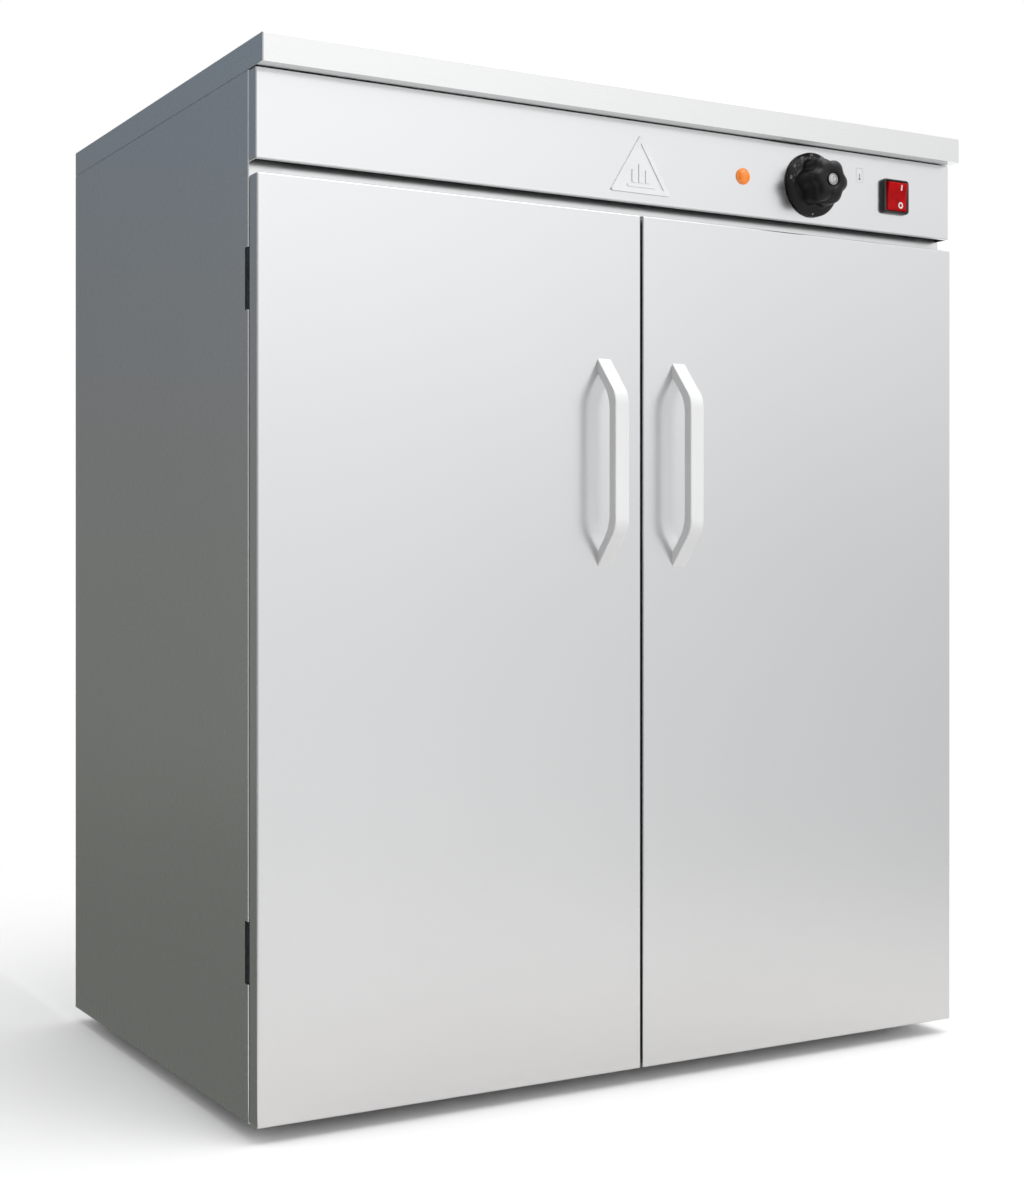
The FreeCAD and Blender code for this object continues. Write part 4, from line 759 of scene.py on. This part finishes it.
def make_rocker(centre, face):
    """A clear red rocker with a hollowed face, tipped with its lower end pressed."""
    half_width = 12.5 * MM
    half_height = 14.0 * MM
    front_reach, hollow_depth, edge = 5.8 * MM, 0.8 * MM, 1.3 * MM
    rest_tilt = math.radians(5)
    pivot_out = 1 * MM
    pivot = Vector((centre[0], face - pivot_out, centre[1]))
    turned = Matrix.Rotation(rest_tilt, 4, "X")
    tilt = Matrix.Translation(pivot) @ turned @ Matrix.Translation(-pivot)
    rows, columns = 24, 16
    crowding = 1.7
    shape = bmesh.new()

    def face_y(u, v):
        """Depth of the rocker's front: hollow from end to end, rounded at its rim."""
        hollow = hollow_depth * (1 - (v / half_height) ** 2)
        near_side = max(0, abs(u) - (half_width - edge)) / edge
        near_end = max(0, abs(v) - (half_height - edge)) / edge
        rim = min(1, math.hypot(near_side, near_end))
        return -front_reach + hollow + edge * (1 - math.sqrt(max(0, 1 - rim * rim)))

    def spread(share, half):
        """Places points closer together at the rim."""
        return half * math.copysign(1 - (1 - abs(share)) ** crowding, share)

    grid = []
    for row in range(rows + 1):
        v = spread(2 * row / rows - 1, half_height)
        line = []
        for column in range(columns + 1):
            u = spread(2 * column / columns - 1, half_width)
            line.append(shape.verts.new(tilt @ (pivot + Vector((u, face_y(u, v), v)))))
        grid.append(line)
    for first, second in zip(grid, grid[1:]):
        for column in range(columns):
            shape.faces.new((first[column], first[column + 1], second[column + 1], second[column]))
    left_side = [line[0] for line in grid]
    right_side = [line[-1] for line in grid[-2::-1]]
    rim = left_side + grid[-1][1:] + right_side + grid[0][-2:0:-1]
    # the back is a little shorter than the front, to clear the well as the rocker tips
    back_y, end_share, end_shrink = pivot.y + 1.5 * MM, 0.8, 0.9
    behind = []
    for vert in rim:
        flat = tilt.inverted() @ vert.co
        shrink = end_shrink if abs(flat.z - pivot.z) > half_height * end_share else 1
        back = Vector((flat.x, back_y, pivot.z + (flat.z - pivot.z) * shrink))
        behind.append(shape.verts.new(tilt @ back))
    count = len(rim)
    for i in range(count):
        j = (i + 1) % count
        shape.faces.new((rim[i], rim[j], behind[j], behind[i]))
    shape.faces.new(behind)
    pin_radius, pin_length = 1.5 * MM, 27.8 * MM
    bmesh.ops.create_cone(
        shape, cap_ends=True, segments=20, radius1=pin_radius, radius2=pin_radius, depth=pin_length,
        matrix=Matrix.Translation(pivot) @ Matrix.Rotation(math.radians(90), 4, "Y"),
    )
    piece("clear_rocker", shape, "rocker_red", "rocker",
          stands_for=["switch_rocker"], angle=50, flat=False)

    # the bar and the ring, in millimetres from the rocker's middle
    mark_x = 4.6
    bar_foot, bar_length, bar_half_width, bar_steps = 6.4, 5.4, 0.85, 6
    ring_z, inner_size, outer_size, ring_steps = -8.2, (1.5, 1.75), (3.0, 3.2), 32
    print_lift = 0.06 * MM
    marks = bmesh.new()

    def on_face(u, v):
        """A point just in front of the rocker's face."""
        return tilt @ (pivot + Vector((u, face_y(u, v) - print_lift, v)))

    heights = [(bar_foot + bar_length * i / bar_steps) * MM for i in range(bar_steps + 1)]
    left = [marks.verts.new(on_face((mark_x - bar_half_width) * MM, v)) for v in heights]
    right = [marks.verts.new(on_face((mark_x + bar_half_width) * MM, v)) for v in heights]
    for i in range(bar_steps):
        marks.faces.new((left[i], right[i], right[i + 1], left[i + 1]))
    inside, outside = [], []
    for i in range(ring_steps):
        turn = math.tau * i / ring_steps
        for ring, (wide, tall) in ((inside, inner_size), (outside, outer_size)):
            u = (mark_x + wide * math.cos(turn)) * MM
            v = (ring_z + tall * math.sin(turn)) * MM
            ring.append(marks.verts.new(on_face(u, v)))
    for i in range(ring_steps):
        j = (i + 1) % ring_steps
        marks.faces.new((inside[i], inside[j], outside[j], outside[i]))
    piece("rocker_marks", marks, "white_print", "rocker")


def make_thermometer_mark(x, z, face):
    """A small printed thermometer in a rounded frame, beside the dial."""
    y = face - 0.05 * MM
    frame_mark = bmesh.new()
    rings = []
    # half width, half height and corner radius of the frame's two edges, in millimetres
    for half_width, half_height, radius in ((4.3, 7.0, 1.5), (4.05, 6.75, 1.3)):
        outline = rounded_outline(half_width * MM, half_height * MM, radius * MM)
        rings.append([(x + u, y, z + v) for u, v in outline])
    loft(frame_mark, rings, cap_start=False, cap_end=False)
    piece("thermometer_frame", frame_mark, "pale_print", "cabinet")
    # the bulb and its stem, in millimetres from the frame's middle
    mark = bmesh.new()
    bulb_radius, bulb_z, neck = 1.3, -3.9, 0.5
    turns = [math.tau * i / 28 for i in range(4, 25)]
    bulb = [(bulb_radius * math.sin(t), bulb_z - bulb_radius * math.cos(t)) for t in turns]
    stem = [(-neck, -1.2), (-neck, 1.0), (0, 1.5), (neck, 1.0), (neck, -1.2)]
    points = bulb + stem
    middle = (0, -2.6)
    centre_point = mark.verts.new((x + middle[0] * MM, y, z + middle[1] * MM))
    points.sort(key=lambda p: math.atan2(p[1] - middle[1], p[0] - middle[0]))
    edge = [mark.verts.new((x + u * MM, y, z + v * MM)) for u, v in points]
    for i in range(len(edge)):
        mark.faces.new((centre_point, edge[i], edge[(i + 1) % len(edge)]))
    piece("thermometer_bulb", mark, "grey_print", "cabinet")


make_lamp()
switch_centre, fascia_front = make_bezel()
THERMOMETER_X, THERMOMETER_Z = 258.4 * MM, 854 * MM
make_thermometer_mark(THERMOMETER_X, THERMOMETER_Z, fascia_front)
make_rocker(switch_centre, fascia_front)


# ---------------------------------------------------------------- camera, light and stage


def make_camera():
    """A level view from the front left, 30 degrees round, shifted down a little."""
    data = bpy.data.cameras.new("camera")
    data.sensor_width = 36
    data.lens = 56.6
    data.shift_y = -0.0166
    camera = bpy.data.objects.new("camera", data)
    camera.location = (-0.9488, -1.6475, 0.4648)
    camera.rotation_euler = (math.radians(90), 0, math.radians(-30))
    bpy.context.scene.collection.objects.link(camera)
    bpy.context.scene.camera = camera


def combine(tree, operation, first, second):
    """A math node over two values, each a number or a node's output."""
    node = tree.nodes.new("ShaderNodeMath")
    node.operation = operation
    for socket, value in zip(node.inputs, (first, second)):
        if isinstance(value, (int, float)):
            socket.default_value = value
        else:
            tree.links.new(value, socket)
    return node.outputs[0]


def make_world():
    """White surroundings, dimmer to the front right and to the front left, as in a studio corner."""
    world = bpy.data.worlds.new("studio")
    world.use_nodes = True
    bpy.context.scene.world = world
    tree = world.node_tree
    direction = tree.nodes.new("ShaderNodeTexCoord")
    parts = tree.nodes.new("ShaderNodeSeparateXYZ")
    tree.links.new(direction.outputs["Generated"], parts.inputs[0])
    x, y, z = parts.outputs
    # strengths of the front half, by direction: dimmer to the far left, to the far right and low down
    left = remap(tree, x, 0.38, 1.0, -0.45, 0.25)
    right = remap(tree, x, 1.0, 0.68, 0.38, 0.80)
    height = remap(tree, z, 0.87, 1.27, 0.0, 0.24)
    front = combine(tree, "MULTIPLY", combine(tree, "MULTIPLY", left, right), height)
    # diffuse light from the left is dimmed again, so that the left side stays dark
    path = tree.nodes.new("ShaderNodeLightPath")
    dimming = remap(tree, x, 0.75, 0.0, -0.5, 0.2)
    shade = combine(tree, "MULTIPLY", path.outputs["Is Diffuse Ray"], dimming)
    front = combine(tree, "MULTIPLY", front, combine(tree, "SUBTRACT", 1, shade))
    # the half behind the cabinet goes to one even strength
    behind = remap(tree, y, 0.0, 1.0, -0.3, 0.02)
    back_strength = 1.08
    lift = combine(tree, "MULTIPLY", behind, combine(tree, "SUBTRACT", back_strength, front))
    level = combine(tree, "ADD", front, lift)
    # the camera itself sees plain white
    seen = path.outputs["Is Camera Ray"]
    unseen = combine(tree, "SUBTRACT", 1, seen)
    level = combine(tree, "ADD", combine(tree, "MULTIPLY", level, unseen), seen)
    back = tree.nodes["Background"]
    back.inputs["Color"].default_value = (1.0, 1.0, 1.0, 1)
    tree.links.new(level, back.inputs["Strength"])


def stage_object(name, shape, material):
    """Makes an object that belongs to the stage, not to the cabinet."""
    mesh = bpy.data.meshes.new(name)
    shape.to_mesh(mesh)
    shape.free()
    mesh.materials.append(material)
    made = bpy.data.objects.new(name, mesh)
    bpy.context.scene.collection.objects.link(made)
    return made


def make_floor():
    """A pale floor that fades into the white surroundings.

    The camera sees it nearly white, while other rays find it darker.
    """
    shape = bmesh.new()
    turns = [math.tau * i / 96 for i in range(96)]
    rings = [
        [(r * math.cos(turn), r * math.sin(turn), 0) for turn in turns]
        for r in (0.02, 0.7, 1.5, 3.0, 6.0)
    ]
    loft(shape, rings, cap_end=False)
    material, shader = shader_of("pale_floor")
    tree = material.node_tree
    shader.inputs["Roughness"].default_value = 0.6
    shader.inputs["Specular IOR Level"].default_value = 0.2
    tone = blend_colours(tree, remap(tree, noise(tree, 1.3), 0, 1), (1.0,) * 3, (0.985,) * 3)
    tree.links.new(tone, shader.inputs["Base Color"])
    place = tree.nodes.new("ShaderNodeTexCoord")
    distance = tree.nodes.new("ShaderNodeVectorMath")
    distance.operation = "LENGTH"
    tree.links.new(place.outputs["Object"], distance.inputs[0])
    fade_start, fade_end = 0.5, 1.5
    fade = remap(tree, distance.outputs["Value"], 0, 1, fade_start, fade_end)
    path = tree.nodes.new("ShaderNodeLightPath")
    dim = tree.nodes.new("ShaderNodeBsdfDiffuse")
    dim.inputs["Color"].default_value = (0.73, 0.715, 0.7, 1)
    lit = tree.nodes.new("ShaderNodeMixShader")
    tree.links.new(path.outputs["Is Camera Ray"], lit.inputs[0])
    tree.links.new(dim.outputs[0], lit.inputs[1])
    tree.links.new(shader.outputs[0], lit.inputs[2])
    clear = tree.nodes.new("ShaderNodeBsdfTransparent")
    mixed = tree.nodes.new("ShaderNodeMixShader")
    tree.links.new(fade, mixed.inputs[0])
    tree.links.new(lit.outputs[0], mixed.inputs[1])
    tree.links.new(clear.outputs[0], mixed.inputs[2])
    tree.links.new(mixed.outputs[0], tree.nodes["Material Output"].inputs["Surface"])
    stage_object("floor", shape, material)


def make_dark_card():
    """A dim card to the left and behind, seen only in glossy reflections, like a studio flag."""
    shape = bmesh.new()
    corners = ((-2.6, 0.1), (-2.1, 1.9), (-0.35, 3.4))
    card_height, ground_height = 2.6, 0.003
    for first, second in zip(corners, corners[1:]):
        quad = [(*first, 0.0), (*second, 0.0), (*second, card_height), (*first, card_height)]
        shape.faces.new([shape.verts.new(p) for p in quad])
    # its foot reaches over the floor to the cabinet's left side
    ground = ((-0.38, -0.27), *corners, (-0.38, 0.5))
    shape.faces.new([shape.verts.new((*p, ground_height)) for p in ground])
    material = bpy.data.materials.new("dark_card")
    material.use_nodes = True
    tree = material.node_tree
    tree.nodes.remove(tree.nodes["Principled BSDF"])
    glow = tree.nodes.new("ShaderNodeEmission")
    place = tree.nodes.new("ShaderNodeTexCoord")
    parts = tree.nodes.new("ShaderNodeSeparateXYZ")
    tree.links.new(place.outputs["Object"], parts.inputs[0])
    x, _, z = parts.outputs
    # greenish at its foot, neutral at 0.8 m, bluish above, and brighter further out
    foot, waist, top = (0.15, 0.155, 0.14), (0.155, 0.16, 0.158), (0.132, 0.168, 0.212)
    low = blend_colours(tree, remap(tree, z, 0, 1, 0.0, 0.8), foot, waist)
    both = blend_colours(tree, remap(tree, z, 0, 1, 0.8, 2.0), low, top)
    tree.links.new(both, glow.inputs["Color"])
    tree.links.new(remap(tree, x, 1.25, 0.97, -1.6, -0.9), glow.inputs["Strength"])
    tree.links.new(glow.outputs[0], tree.nodes["Material Output"].inputs["Surface"])
    card = stage_object("dark_card", shape, material)
    card.visible_camera = False
    card.visible_diffuse = False
    card.visible_shadow = False
    card.visible_transmission = False


def make_light(name, place, target, size, energy):
    """A white rectangular light that looks at a target."""
    data = bpy.data.lights.new(name, "AREA")
    data.shape = "RECTANGLE"
    data.size, data.size_y = size
    data.energy = energy
    light = bpy.data.objects.new(name, data)
    light.location = place
    light.rotation_euler = (Vector(target) - Vector(place)).to_track_quat("-Z", "Y").to_euler()
    bpy.context.scene.collection.objects.link(light)
    return light


make_camera()
make_world()
make_floor()
make_dark_card()
make_light("overhead", place=(0.4, -1.3, 3.2), target=(0, -0.2, 0.3), size=(2.6, 2.0), energy=38)
front_fill = make_light("front_fill", place=(0.7, -2.6, 0.9), target=(0, -0.24, 0.55),
                        size=(1.8, 1.2), energy=14)
front_fill.visible_glossy = False
bpy.context.scene.view_settings.view_transform = "Standard"
